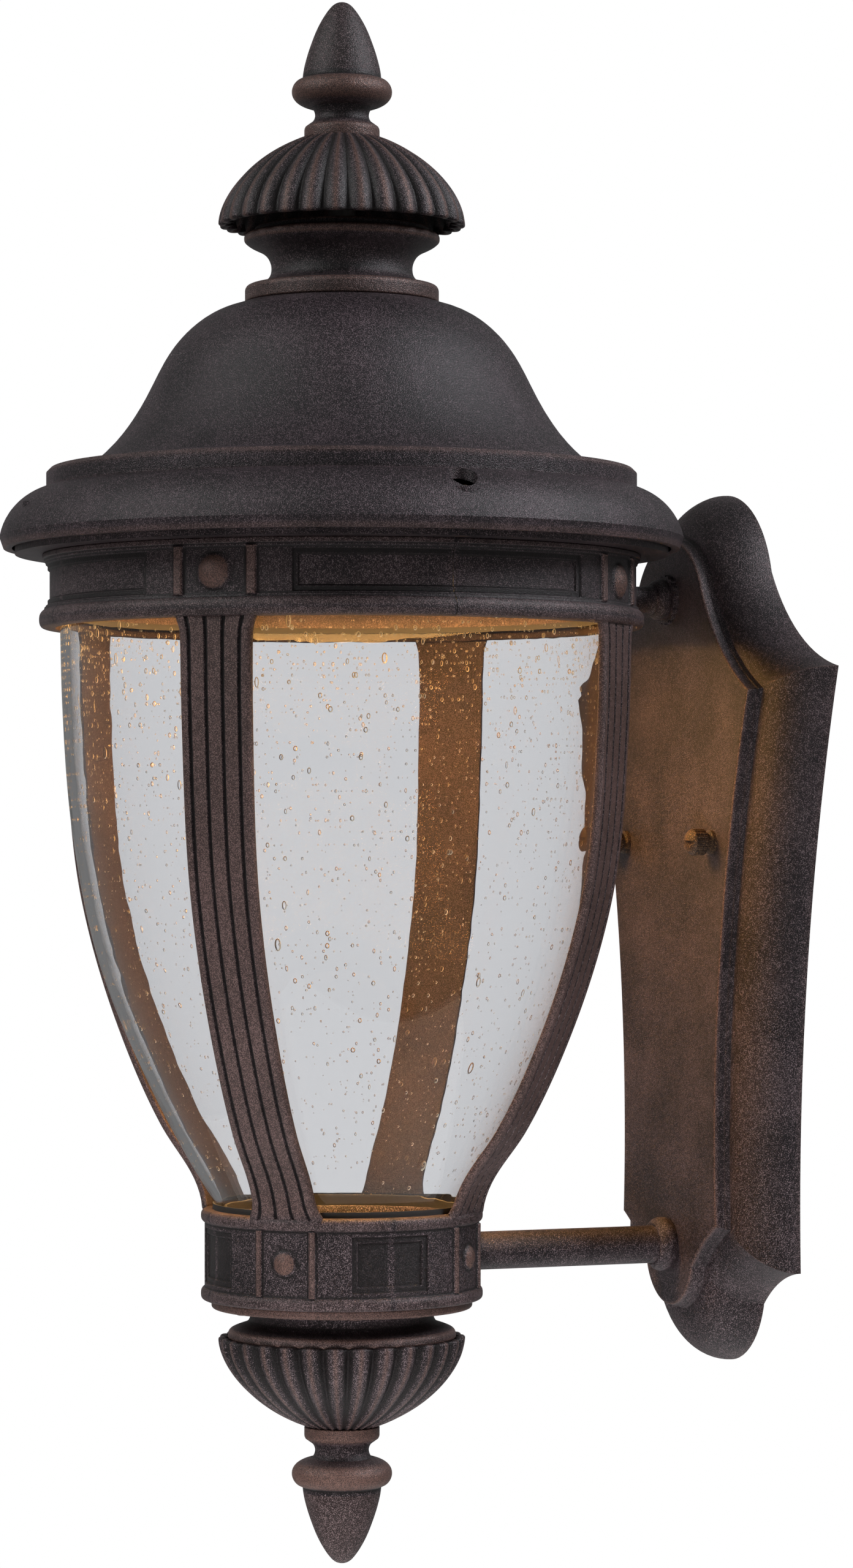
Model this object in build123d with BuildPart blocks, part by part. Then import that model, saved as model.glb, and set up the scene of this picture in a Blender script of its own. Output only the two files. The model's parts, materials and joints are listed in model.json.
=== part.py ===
"""Outdoor wall lantern: a glass urn in a cast cage under a bell roof, on two arms from a wall plate.

Millimetres, +Z up. The origin is on the wall, at the centre of the outlet box behind the wall plate.
The wall is the plane Y = 0 and the lantern stands in front of it, towards -Y.
"""

import math
import os

from build123d import *

os.makedirs("parts", exist_ok=True)

# Driving dimensions: the lantern's axis and the heights of its stack
axis_out = 151.0
finial_height = 49.0
cap_top = 248.0
cap_base = 217.0
roof_top = 190.0
ledge_top = 131.0
ring_top = 104.0
band_top = 101.0
band_bottom = 75.0
lower_band_top = -129.0
lower_band_bottom = -161.0
base_bottom = -164.0
bowl_rim = -175.0
bowl_bottom = -206.0

# Fluted cap and bowl
flutes = 30
dome_radius = 43.6
dome_reach = 33.5
dome_power = 1.7
flute_depth = 2.2

# Tie rods, lock nuts and the small clearance of a thread in its hole
rod_radius = 4.75
thread_gap = 0.05
rod_nut_flats = 16.0
rod_nut_height = 6.0
rod_washer_radius = 11.0
washer_thickness = 1.5

# Roof
roof_wall = 3.0
neck_flange = 34.5
ledge_radius = 104.0
brim_radius = 120.4
brim_crown = 107.0
roof_lip = 103.0
roof_screw_radius = 110.0
roof_screw_bore = 2.6
roof_screw_head = 4.4
roof_seat_radius = 7.2
clamp_ring_radius = 115.0

# Cage: four castings, each with a strap and a quarter of both bands
quarters = {"front_right": -45, "rear_right": 45, "rear_left": 135, "front_left": 225}
seam_angle = 0.12
band_inner = 100.4
band_field = 104.2
band_edge = 105.4
band_middle = 89.8
panel_sink = 0.7
strap_width_top = 26.5
strap_width_foot = 23.0
strap_thickness = 2.8
groove_width = 1.2
groove_depth = 0.9
groove_places = (-9.3, -3.1, 3.1, 9.3)
lower_inner = 44.0
lower_field = 48.4
lower_edge = 49.7
lower_middle = -144.8
lug_angle = 25.0
lug_radius = 98.0
foot_screw_radius = 42.0
foot_screw_angle = 30.0
small_screw = 1.5
small_head = 2.6

# Glass urn
glass_wall = 3.2
glass_top = 78.0
glass_foot = -127.0
gasket_top = 80.0

# Arms
upper_arm_height = 88.0
upper_arm_radius = 5.0
lower_arm_height = -146.0
lower_arm_radius = 6.8
arm_wall = 1.6
upper_nut_flats = 14.0
lower_nut_flats = 19.0
arm_nut_height = 4.5

# Wall plate
plate_depth = 24.0
step_depth = 18.6
hollow_depth = 20.0
skirt_wall = 2.6
plate_wall_share = 0.15
step_share = 0.05

# Crossbar behind the wall plate
strip = 2.5
stud_spacing = 73.0
stud_radius = 2.4
box_hole_spacing = 88.9
box_slot_length = 12.0
box_slot_width = 4.6

# LED engine
pan_flange = 95.0
pan_dish = 88.0
pan_floor = 99.0
pan_sheet = 1.5
board_radius = 45.0
board_thickness = 1.6
chip_count = 12
diffuser_radius = 60.0
diffuser_depth = 9.0
pan_screw_radius = 92.6
lead_radius = 2.6
lead_hole_out = 72.0

side_plane = Plane.XZ.offset(axis_out)
lantern_axis = Axis((0, -axis_out, 0), (0, 0, 1))


def finish(piece, name):
    """Label a finished piece and write it."""
    piece.label = name
    export_step(piece, f"parts/{name}.step")


def level(height, direction=1):
    """The level plane on the lantern's axis at a height, facing up or down."""
    return Plane(origin=(0, -axis_out, height), x_dir=(1, 0, 0), z_dir=(0, 0, direction))


def radial(azimuth):
    """The upright plane through the axis: x runs outwards at this azimuth from +X, y runs up."""
    turn = math.radians(azimuth)
    out = (math.cos(turn), math.sin(turn), 0)
    return Plane(origin=(0, -axis_out, 0), x_dir=out, z_dir=(out[1], -out[0], 0))


def facing(azimuth):
    """The upright plane through the axis that looks outwards at this azimuth."""
    turn = math.radians(azimuth)
    out = (math.cos(turn), math.sin(turn), 0)
    return Plane(origin=(0, -axis_out, 0), x_dir=(-out[1], out[0], 0), z_dir=out)


def inward(points, depth):
    """A meridian's points moved towards the axis by a depth, square to the curve."""
    moved = []
    for i, (radius, height) in enumerate(points):
        before = points[max(i - 1, 0)]
        after = points[min(i + 1, len(points) - 1)]
        run = math.dist(before, after)
        slope = ((after[0] - before[0]) / run, (after[1] - before[1]) / run)
        moved.append((radius + depth * slope[1], height - depth * slope[0]))
    return moved


def polar(radius, angle):
    """A point in a level sketch."""
    turn = math.radians(angle)
    return (radius * math.cos(turn), radius * math.sin(turn))


def finial(foot):
    """A turned acorn on a ring, a neck and a collar, with a tapped hole up its foot."""
    bore = rod_radius + thread_gap
    bore_depth = 13.0
    with BuildPart() as turned:
        with BuildSketch(foot):
            with BuildLine():
                Polyline((0, bore_depth), (bore, bore_depth), (bore, 0), (12.6, 0), (13.3, 0.7), (13.3, 3.6))
                Line((13.3, 3.6), (12.6, 4.6))
                ThreePointArc((12.6, 4.6), (9.5, 7.9), (11.2, 11.0))
                Line((11.2, 11.0), (14.6, 11.7))
                ThreePointArc((14.6, 11.7), (17.75, 16.4), (14.6, 21.0))
                Line((14.6, 21.0), (13.85, 21.4))
                Spline((13.85, 21.4), (12.5, 28.6), (10.3, 35.1), (6.4, 42.9), (2.0, 48.1))
                Polyline((2.0, 48.1), (0, finial_height), (0, bore_depth))
            make_face()
        revolve(axis=Axis(foot.origin, foot.y_dir))
    return turned.part


def dome_at(height):
    """Radius of the fluted dome's crests at a height over its rim."""
    return dome_radius * (1 - (height / dome_reach) ** dome_power) ** (1 / dome_power)


def fluted_dome(rim, reach):
    """A dome of rounded ribs that narrow to its crown, hollow round a central boss with a bore."""
    with BuildPart() as casting:
        for height in (0, 7, 14, 20, 25, reach):
            crest = dome_at(height)
            valley = crest - flute_depth * (crest / dome_radius) ** 1.5
            pitch = 360 / flutes
            with BuildSketch(rim.offset(height)):
                with BuildLine():
                    for rib in range(flutes):
                        ThreePointArc(
                            polar(valley, rib * pitch),
                            polar(crest, (rib + 0.5) * pitch),
                            polar(valley, (rib + 1) * pitch),
                        )
                make_face()
        loft()
        upright = Plane(origin=rim.origin, x_dir=(1, 0, 0), z_dir=(0, -rim.z_dir.Z, 0))
        with BuildSketch(upright):
            with BuildLine():
                Polyline((14, 23), (11.5, 23), (11.5, 0), (38.6, 0))
                ThreePointArc((38.6, 0), (31.5, 14), (14, 23))
            make_face()
        revolve(axis=Axis(rim.origin, rim.z_dir), mode=Mode.SUBTRACT)
        with BuildSketch(rim):
            Circle(rod_radius + thread_gap)
        extrude(amount=reach, mode=Mode.SUBTRACT)
    return casting.part


def tube(plane, outer, inner, length):
    """A straight tube, washer or, with no inner radius, rod that starts on a plane."""
    with BuildPart() as round_piece:
        with BuildSketch(plane):
            Circle(outer)
            if inner:
                Circle(inner, mode=Mode.SUBTRACT)
        extrude(amount=length)
    return round_piece.part


def hex_nut(plane, flats, inner, length):
    """A hexagon nut that starts on a plane, with two corners along that plane's x."""
    with BuildPart() as nut:
        with BuildSketch(plane):
            RegularPolygon(radius=flats / 2, side_count=6, major_radius=False)
            Circle(inner, mode=Mode.SUBTRACT)
        extrude(amount=length)
    return nut.part


# The stack above the roof: finial, fluted cap and neck on the top tie rod
def upright_at(height, direction=1):
    """The upright plane with x outwards and y along the axis, up or down, from a height."""
    return Plane(origin=(0, -axis_out, height), x_dir=(1, 0, 0), z_dir=(0, -direction, 0))


finish(finial(upright_at(cap_top)), "top_finial")
finish(fluted_dome(level(cap_base), cap_top - cap_base), "fluted_cap")

rod_bore = rod_radius + thread_gap
with BuildPart() as roof_neck:
    with BuildSketch(side_plane):
        with BuildLine():
            Polyline((rod_bore, roof_top), (33.6, roof_top), (34.2, 190.6), (34.2, 195.0), (33.0, 196.2))
            ThreePointArc((33.0, 196.2), (24.9, 203.2), (32.6, 211.4))
            Polyline((32.6, 211.4), (34.5, 212.6), (34.5, 216.0), (33.5, cap_base), (rod_bore, cap_base))
            Line((rod_bore, cap_base), (rod_bore, roof_top))
        make_face()
    revolve(axis=lantern_axis)
finish(roof_neck.part, "roof_neck")

# Roof: bell, ledge and bullnose brim in one hollow casting, with four seats under the brim
bell = [(41.0, 188.0), (52.0, 181.6), (60.3, 172.4), (68.6, 157.0), (79.2, 141.0), (88.0, 132.8)]
bell_inside = inward(bell, roof_wall)
with BuildPart() as roof:
    with BuildSketch(side_plane):
        with BuildLine():
            Polyline((rod_bore, roof_top), (neck_flange, roof_top), bell[0])
            Spline(*bell)
            Polyline(bell[-1], (102.6, ledge_top), (ledge_radius, 129.6), (ledge_radius, 124.2))
            ThreePointArc((ledge_radius, 124.2), (115.4, 117.3), (brim_radius, brim_crown))
            Polyline((brim_radius, brim_crown), (119.0, roof_lip), (116.0, roof_lip), (117.0, brim_crown))
            ThreePointArc((117.0, brim_crown), (112.6, 115.2), (103.0, 120.9))
            Polyline((103.0, 120.9), (100.8, 121.6), (100.8, 128.2), bell_inside[-1])
            Spline(*reversed(bell_inside))
            Polyline(bell_inside[0], (34.0, roof_top - roof_wall), (rod_bore, roof_top - roof_wall))
            Line((rod_bore, roof_top - roof_wall), (rod_bore, roof_top))
        make_face()
    revolve(axis=lantern_axis)
    seat_height = 13.0
    with BuildSketch(level(ring_top)):
        with PolarLocations(roof_screw_radius, 4):
            Circle(roof_seat_radius)
    extrude(amount=seat_height)
    with BuildSketch(level(ring_top)):
        with PolarLocations(roof_screw_radius, 2):
            Circle(roof_screw_bore)
    extrude(amount=seat_height * 2, mode=Mode.SUBTRACT)
    counterbore_floor = 115.0
    with BuildSketch(level(counterbore_floor)):
        with PolarLocations(roof_screw_radius, 2):
            Circle(roof_screw_head + 1.0)
    extrude(amount=seat_height, mode=Mode.SUBTRACT)
finish(roof.part, "roof")

# Roof screws: round heads with a driver slot, down through the brim into the clamp ring
with BuildPart() as roof_screws:
    for x_dir in (1, -1):
        shank = Plane(origin=(x_dir * roof_screw_radius, -axis_out, counterbore_floor), z_dir=(0, 0, -1))
        with BuildSketch(shank):
            Circle(roof_screw_bore - thread_gap)
        extrude(amount=counterbore_floor - band_top)
        head = shank.offset(0)
        with BuildSketch(Plane(origin=head.origin, x_dir=(1, 0, 0), z_dir=(0, -1, 0))):
            with BuildLine():
                Polyline((0, 3.0), (0, 0), (roof_screw_head, 0), (roof_screw_head, 0.8))
                ThreePointArc((roof_screw_head, 0.8), (3.0, 2.3), (0, 3.0))
            make_face()
        revolve(axis=Axis(head.origin, (0, 0, 1)))
        with BuildSketch(Plane(origin=head.origin + Vector(0, 0, 1.6))):
            Rectangle(12, 1.1)
        extrude(amount=3, mode=Mode.SUBTRACT)
finish(roof_screws.part, "roof_screws")

# Top tie rod, with its washer and nut under the roof's crown
roof_crown = roof_top - roof_wall
nut_seat = roof_crown - washer_thickness
finish(tube(level(177), rod_radius, 1.6, 82), "top_tie_rod")
finish(tube(level(nut_seat), rod_washer_radius, rod_bore, washer_thickness), "top_rod_washer")
nut_plane = level(nut_seat - rod_nut_height)
finish(hex_nut(nut_plane, rod_nut_flats, rod_bore, rod_nut_height), "top_rod_nut")

# The stack under the cage: base disc, neck, fluted bowl and finial on the bottom tie rod
foot_angles = [azimuth + side * foot_screw_angle for azimuth in quarters.values() for side in (-1, 1)]
with BuildPart() as base_disc:
    with BuildSketch(level(base_bottom)):
        Circle(46.0)
        Circle(rod_bore, mode=Mode.SUBTRACT)
        for foot_angle in foot_angles:
            with Locations(polar(foot_screw_radius, foot_angle)):
                Circle(small_screw + thread_gap, mode=Mode.SUBTRACT)
    extrude(amount=lower_band_bottom - base_bottom)
finish(base_disc.part, "base_disc")

with BuildPart() as bottom_neck:
    with BuildSketch(side_plane):
        with BuildLine():
            Polyline((rod_bore, base_bottom), (32.6, base_bottom), (32.6, -168.4), (34.4, -170.6), (39.4, -170.8))
            ThreePointArc((39.4, -170.8), (40.4, -172.8), (39.4, bowl_rim))
            Polyline((39.4, bowl_rim), (rod_bore, bowl_rim), (rod_bore, base_bottom))
        make_face()
    revolve(axis=lantern_axis)
finish(bottom_neck.part, "bottom_neck")

finish(fluted_dome(level(bowl_rim, -1), bowl_rim - bowl_bottom), "fluted_bowl")
finish(finial(upright_at(bowl_bottom, -1)), "bottom_finial")
bottom_washer_top = lower_band_bottom + washer_thickness
finish(tube(level(-218), rod_radius, 1.6, 66), "bottom_tie_rod")
finish(tube(level(lower_band_bottom), rod_washer_radius, rod_bore, washer_thickness), "bottom_rod_washer")
finish(hex_nut(level(bottom_washer_top), rod_nut_flats, rod_bore, rod_nut_height), "bottom_rod_nut")

# Cage: the strap's outer face follows the urn, and both bands are turned through a quarter each
strap_curve = [(104.6, 78), (103.7, 40), (97.6, -20), (82.6, -67), (65.9, -101), (52.2, -121), (48.0, -131)]
strap_inside = inward(strap_curve, strap_thickness)
groove_floor = inward(strap_curve, groove_depth)
groove_mouth = inward(strap_curve, -1.0)


def strip_between(plane, outer_points, inner_points):
    """Sketch of the strip between two curves that run down the strap."""
    with BuildSketch(plane) as section:
        with BuildLine():
            Spline(*outer_points)
            Line(outer_points[-1], inner_points[-1])
            Spline(*reversed(inner_points))
            Line(inner_points[0], outer_points[0])
        make_face()
    return section.sketch


def strap(azimuth):
    """A tapering curved bar with four grooves down its face."""
    half_top = strap_width_top / 2
    half_foot = strap_width_foot / 2
    with BuildPart() as bar:
        extrude(strip_between(radial(azimuth), strap_curve, strap_inside), amount=half_top, both=True)
        with BuildSketch(facing(azimuth)):
            with BuildLine():
                Polyline((-half_top, 79), (half_top, 79), (half_foot, -132), (-half_foot, -132), close=True)
            make_face()
        extrude(amount=band_edge + 10, mode=Mode.INTERSECT)
        for place in groove_places:
            groove = strip_between(radial(azimuth).offset(place), groove_mouth, groove_floor)
            extrude(groove, amount=groove_width / 2, both=True, mode=Mode.SUBTRACT)
    return bar.part


def band_rib(azimuth, height, field, width, length):
    """An upright rib that stands proud of a band's field."""
    with BuildPart() as rib:
        with BuildSketch(facing(azimuth).offset(field - 1.4)):
            with Locations((0, height)):
                Rectangle(width, length)
        extrude(amount=2.3)
    return rib.part


def band_boss(azimuth, height, field, radius):
    """A low round dome on a band's field, cut from a ball."""
    rise = radius * 0.36
    sunk = 0.3
    crown = rise + sunk
    ball = (radius**2 + crown**2) / (2 * crown)
    look = facing(azimuth)
    with BuildPart() as boss:
        with BuildSketch(look.offset(field - 1.2)):
            with Locations((0, height)):
                Circle(radius)
        extrude(amount=5.0)
        with Locations(look.from_local_coords((0, height, field + rise - ball))):
            Sphere(ball, mode=Mode.INTERSECT)
    return boss.part


def panel_cut(azimuth, sweep, floor, bottom, top):
    """Half of a sunk panel in a band, turned from the seam through a sweep down to a floor radius."""
    proud = 3.0
    with BuildPart() as recess:
        with BuildSketch(radial(azimuth)):
            with Locations((floor + proud / 2, (bottom + top) / 2)):
                Rectangle(proud, top - bottom)
        revolve(axis=lantern_axis, revolution_arc=sweep)
    return recess.part


def cage_quarter(azimuth):
    """One casting: strap, quarter of the upper band and quarter of the lower band."""
    trim = [strap(azimuth)]
    trim.append(band_boss(azimuth, band_middle, band_field, 6.0))
    trim.append(band_boss(azimuth, lower_middle, lower_field, 4.3))
    panels = []
    for side in (-1, 1):
        seam = azimuth + side * 45
        trim.append(band_rib(azimuth + side * 7.4, band_middle, band_field, 4.0, 17.4))
        trim.append(band_rib(azimuth + side * 12.0, lower_middle, lower_field, 2.6, 19.0))
        panels.append(panel_cut(seam, side * -30.0, band_field - panel_sink, 83.2, 97.0))
        panels.append(panel_cut(seam, side * -29.0, band_field - 2 * panel_sink, 85.0, 95.2))
        panels.append(panel_cut(seam, side * -16.6, lower_field - panel_sink, -152.4, -137.2))
        panels.append(panel_cut(seam, side * -15.0, lower_field - 2 * panel_sink, -150.8, -138.8))
    lugs = [azimuth - lug_angle, azimuth + lug_angle]
    feet = [azimuth - foot_screw_angle, azimuth + foot_screw_angle]
    with BuildPart() as casting:
        with BuildSketch(radial(azimuth - 45 + seam_angle / 2)):
            with BuildLine():
                Polyline((band_inner, band_bottom), (104.6, band_bottom))
                ThreePointArc((104.6, band_bottom), (106.5, 78.1), (104.8, 81.2))
                Polyline((104.8, 81.2), (band_field, 81.6), (band_field, 98.0), (band_edge, 98.6))
                Polyline((band_edge, 98.6), (band_edge, band_top), (band_inner, band_top))
                Line((band_inner, band_top), (band_inner, band_bottom))
            make_face()
            with BuildLine():
                Polyline((40.0, lower_band_top), (48.4, lower_band_top))
                ThreePointArc((48.4, lower_band_top), (lower_edge, -132.0), (48.8, -135.0))
                Polyline((48.8, -135.0), (lower_field, -136.0), (lower_field, -153.6), (48.8, -154.6))
                ThreePointArc((48.8, -154.6), (lower_edge, -157.8), (48.4, lower_band_bottom))
                Polyline((48.4, lower_band_bottom), (36.0, lower_band_bottom), (36.0, -157.5))
                Polyline((36.0, -157.5), (lower_inner, -157.5), (lower_inner, -132.5), (40.0, -132.5))
                Line((40.0, -132.5), (40.0, lower_band_top))
            make_face()
        revolve(axis=lantern_axis, revolution_arc=90 - seam_angle)
        add(panels, mode=Mode.SUBTRACT)
        add(trim)
        with BuildSketch(level(gasket_top)):
            for lug in lugs:
                with Locations(polar(lug_radius, lug)):
                    Rectangle(8.0, 9.0, rotation=lug)
        extrude(amount=band_top - gasket_top)
        with BuildSketch(level(band_top - 12)):
            for lug in lugs:
                with Locations(polar(lug_radius, lug)):
                    Circle(small_screw + thread_gap)
        extrude(amount=12, mode=Mode.SUBTRACT)
        with BuildSketch(level(lower_band_bottom)):
            for foot in feet:
                with Locations(polar(foot_screw_radius, foot)):
                    Circle(small_screw + thread_gap)
        extrude(amount=3.5, mode=Mode.SUBTRACT)
    return casting.part


# The four castings are one pattern, turned; the rear pair is drilled on its seam for the arms
pattern_azimuth = quarters["front_right"]
pattern = cage_quarter(pattern_azimuth)
for side_name, side_azimuth in quarters.items():
    with BuildPart() as casting:
        add(pattern.rotate(lantern_axis, side_azimuth - pattern_azimuth))
        if side_name.startswith("rear"):
            with BuildSketch(facing(90)):
                with Locations((0, upper_arm_height)):
                    Circle(upper_arm_radius + thread_gap)
                with Locations((0, lower_arm_height)):
                    Circle(lower_arm_radius + thread_gap)
            extrude(amount=band_edge + 5, mode=Mode.SUBTRACT)
    finish(casting.part, f"cage_{side_name}")

# Clamp ring on top of the cage, and the screws that hold ring and base disc to the castings
lug_angles = [azimuth + side * lug_angle for azimuth in quarters.values() for side in (-1, 1)]
with BuildPart() as clamp_ring:
    with BuildSketch(level(band_top)):
        Circle(clamp_ring_radius)
        Circle(90.0, mode=Mode.SUBTRACT)
        with PolarLocations(roof_screw_radius, 2):
            Circle(roof_screw_bore, mode=Mode.SUBTRACT)
        for angle in lug_angles:
            with Locations(polar(lug_radius, angle)):
                Circle(small_screw + thread_gap, mode=Mode.SUBTRACT)
        with PolarLocations(pan_screw_radius, 4, start_angle=45):
            Circle(small_screw + thread_gap, mode=Mode.SUBTRACT)
    extrude(amount=ring_top - band_top)
finish(clamp_ring.part, "clamp_ring")


def screws(radius, angles, seat, direction, length):
    """A ring of small screws: heads on a seat plane, shanks running back through it."""
    with BuildPart() as group:
        for angle in angles:
            spot = polar(radius, angle * direction)
            with BuildSketch(level(seat, direction)):
                with Locations(spot):
                    Circle(small_head)
            extrude(amount=1.8)
            with BuildSketch(level(seat, direction)):
                with Locations(spot):
                    Circle(small_screw)
            extrude(amount=-length)
    return group.part


finish(screws(lug_radius, lug_angles, ring_top, 1, 13), "clamp_screws")
finish(screws(foot_screw_radius, foot_angles, base_bottom, -1, 6), "base_screws")

# Glass urn, open at both ends, between two flat gaskets
urn = [(99.2, glass_top), (98.4, 48), (94.4, 0), (85.6, -42), (68.6, -84), (54.0, -112), (45.0, glass_foot)]
urn_inside = inward(urn, glass_wall)
urn_inside[0] = (urn_inside[0][0], glass_top)
urn_inside[-1] = (urn_inside[-1][0] - 1.2, glass_foot)
with BuildPart() as glass_urn:
    with BuildSketch(side_plane):
        with BuildLine():
            Spline(*urn)
            Line(urn[-1], urn_inside[-1])
            Spline(*reversed(urn_inside))
            Line(urn_inside[0], urn[0])
        make_face()
    revolve(axis=lantern_axis)
finish(glass_urn.part, "glass_urn")
finish(tube(level(glass_top), 100.0, 95.4, gasket_top - glass_top), "top_gasket")
finish(tube(level(lower_band_top), 45.6, 40.6, glass_foot - lower_band_top), "foot_gasket")


# Arms: a tube for the supply lead above and a solid stay below, from behind the wall plate into the
# cage's rear seam, with collars and lock nuts
def across(out, height):
    """The upright plane square to the arms, a distance in front of the wall and looking forwards."""
    return Plane.XZ.offset(out).shift_origin((0, -out, height))


def saddle(height, inside, outer, inner, length):
    """A washer with one face turned to fit the inside of a band."""
    with BuildPart() as washer:
        with BuildSketch(across(axis_out - inside, height)):
            Circle(outer)
            Circle(inner, mode=Mode.SUBTRACT)
        extrude(amount=length)
        with BuildSketch(level(height - outer)):
            Circle(inside)
        extrude(amount=2 * outer, mode=Mode.INTERSECT)
    return washer.part


plate_back = hollow_depth
saddle_length = 3.0
arm_tail = 6.0
lead_bore = upper_arm_radius - arm_wall
arms = {
    "upper_arm": (upper_arm_height, upper_arm_radius, lead_bore, band_inner, upper_nut_flats, 7.0),
    "lower_arm": (lower_arm_height, lower_arm_radius, None, lower_inner, lower_nut_flats, 9.6),
}
for arm, (height, radius, hollow, inside, flats, washer) in arms.items():
    reach = axis_out - inside + saddle_length + arm_nut_height + 1.5
    tail = plate_back - arm_tail
    finish(tube(across(tail, height), radius, hollow, reach - tail), arm)
    bore = radius + thread_gap
    plate_nut = across(plate_back - arm_nut_height, height)
    finish(hex_nut(plate_nut, flats, bore, arm_nut_height), f"{arm}_plate_nut")
    finish(saddle(height, inside, washer, bore, saddle_length), f"{arm}_saddle")
    cage_nut = across(axis_out - inside + saddle_length, height)
    finish(hex_nut(cage_nut, flats, bore, arm_nut_height), f"{arm}_cage_nut")

# Upper arm: a serrated washer on the wall plate, then a flared collar
serrations = 18
serrated_radius = 9.0
serrated_thickness = 1.8
upper_bore = upper_arm_radius + thread_gap
with BuildPart() as serrated_washer:
    with BuildSketch(across(plate_depth, upper_arm_height)):
        Circle(serrated_radius)
        with PolarLocations(serrated_radius + 0.4, serrations):
            Circle(1.0, mode=Mode.SUBTRACT)
        Circle(upper_bore, mode=Mode.SUBTRACT)
    extrude(amount=serrated_thickness)
finish(serrated_washer.part, "upper_arm_washer")


def bead_collar(height, start, bore, foot, crest, length):
    """A turned collar on an arm: a rounded bead that narrows to the tube."""
    with BuildPart() as collar:
        with BuildSketch(Plane(origin=(0, -start, height))):
            with BuildLine():
                Polyline((bore, 0), (foot, 0))
                ThreePointArc((foot, 0), (crest, -length * 0.45), (bore + 0.8, -length))
                Polyline((bore + 0.8, -length), (bore, -length), (bore, 0))
            make_face()
        revolve(axis=Axis((0, -start, height), (0, -1, 0)))
    return collar.part


upper_collar_start = plate_depth + serrated_thickness
lower_bore = lower_arm_radius + thread_gap
finish(bead_collar(upper_arm_height, upper_collar_start, upper_bore, 7.0, 7.4, 5.0), "upper_arm_collar")
finish(bead_collar(lower_arm_height, plate_depth, lower_bore, 8.6, 9.8, 6.5), "lower_arm_collar")

# Wall plate: a hollow casting whose outline grows from the raised field's edge to the edge on the wall
field_edge = {
    "apex": (0, 110),
    "dome": (17, 104),
    "shoulder": (27, 91),
    "ogee": (42, 70),
    "corner": (65, 53.6),
    "side": (43, -40),
    "heel": (39.3, -137),
    "cove": (29, -143.5),
    "toe": (19, -153),
    "round": (11, -162),
    "tip": (0, -168),
}
wall_edge = {
    "apex": (0, 126.7),
    "dome": (23.5, 117),
    "shoulder": (36, 97),
    "ogee": (55.5, 75.5),
    "corner": (88, 61.4),
    "side": (64.5, -43),
    "heel": (59, -152.6),
    "cove": (44, -156.5),
    "toe": (30, -166),
    "round": (17.5, -180),
    "tip": (0, -189),
}


def plate_outline(out, share):
    """The plate's outline a distance off the wall: share 0 is the field's edge and 1 the wall's."""
    spot = {}
    for name, (field_x, field_z) in field_edge.items():
        wall_x, wall_z = wall_edge[name]
        spot[name] = (field_x + share * (wall_x - field_x), field_z + share * (wall_z - field_z))
    with BuildSketch(Plane.XZ.offset(out)) as outline:
        with BuildLine():
            ThreePointArc(spot["apex"], spot["dome"], spot["shoulder"])
            ThreePointArc(spot["shoulder"], spot["ogee"], spot["corner"])
            ThreePointArc(spot["corner"], spot["side"], spot["heel"])
            ThreePointArc(spot["heel"], spot["cove"], spot["toe"])
            ThreePointArc(spot["toe"], spot["round"], spot["tip"])
            mirror(about=Plane.YZ)
        make_face()
    return outline.sketch


def skirt_sections(depth, inset):
    """Outlines down the convex skirt, a quarter ellipse from the step to the wall."""
    sections = []
    for fall in (0, 0.4, 0.7, 0.9, 1.0):
        share = step_share + (1 - step_share) * fall - inset
        sections.append(plate_outline(depth * math.sqrt(1 - fall**2), share))
    return sections


stud_places = [(-stud_spacing / 2, 0), (stud_spacing / 2, 0)]
outside = skirt_sections(step_depth, 0)
inside = skirt_sections(step_depth - skirt_wall, plate_wall_share)
field = plate_outline(plate_depth, 0)
field_back = plate_outline(hollow_depth, -plate_wall_share)
with BuildPart() as wall_plate:
    loft(outside)
    extrude(field, amount=step_depth - plate_depth)
    loft(inside, mode=Mode.SUBTRACT)
    extrude(field_back, amount=-hollow_depth / 2, mode=Mode.SUBTRACT)
    with BuildSketch(Plane.XZ.offset(plate_depth)):
        with Locations(*stud_places):
            Circle(stud_radius + 0.6)
        with Locations((0, upper_arm_height)):
            Circle(upper_bore)
        with Locations((0, lower_arm_height)):
            Circle(lower_bore)
    extrude(amount=hollow_depth - plate_depth, mode=Mode.SUBTRACT)
finish(wall_plate.part, "wall_plate")

# Crossbar: a slotted strap on the outlet box, and a stud bar that swivels on its centre screw
strap_length = 116.0
with BuildPart() as box_strap:
    with BuildSketch(Plane.XZ):
        SlotOverall(strap_length, 20.0, rotation=90)
        with GridLocations(0, box_hole_spacing, 1, 2):
            SlotOverall(box_slot_length, box_slot_width, rotation=90, mode=Mode.SUBTRACT)
        Circle(3.0 + thread_gap, mode=Mode.SUBTRACT)
        with Locations((0, -24)):
            Circle(2.0 + thread_gap, mode=Mode.SUBTRACT)
    extrude(amount=strip)
finish(box_strap.part, "box_strap")

with BuildPart() as stud_bar:
    with BuildSketch(Plane.XZ.offset(strip)):
        SlotOverall(94.0, 16.0)
        with Locations(*stud_places):
            Circle(stud_radius + thread_gap, mode=Mode.SUBTRACT)
        Circle(3.0 + thread_gap, mode=Mode.SUBTRACT)
    extrude(amount=strip)
finish(stud_bar.part, "stud_bar")


def strap_screw(height, seat, shank, flats):
    """A hexagon-headed screw, its head on a seat in front of the wall and its end flush with the wall."""
    with BuildPart() as screw:
        with BuildSketch(across(seat, height)):
            RegularPolygon(radius=flats / 2, side_count=6, major_radius=False)
        extrude(amount=3.2)
        with BuildSketch(across(0, height)):
            Circle(shank)
        extrude(amount=seat)
    return screw.part


finish(strap_screw(0, 2 * strip, 3.0, 10.0), "centre_screw")
finish(strap_screw(-24, strip, 2.0, 8.0), "ground_screw")

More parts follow.
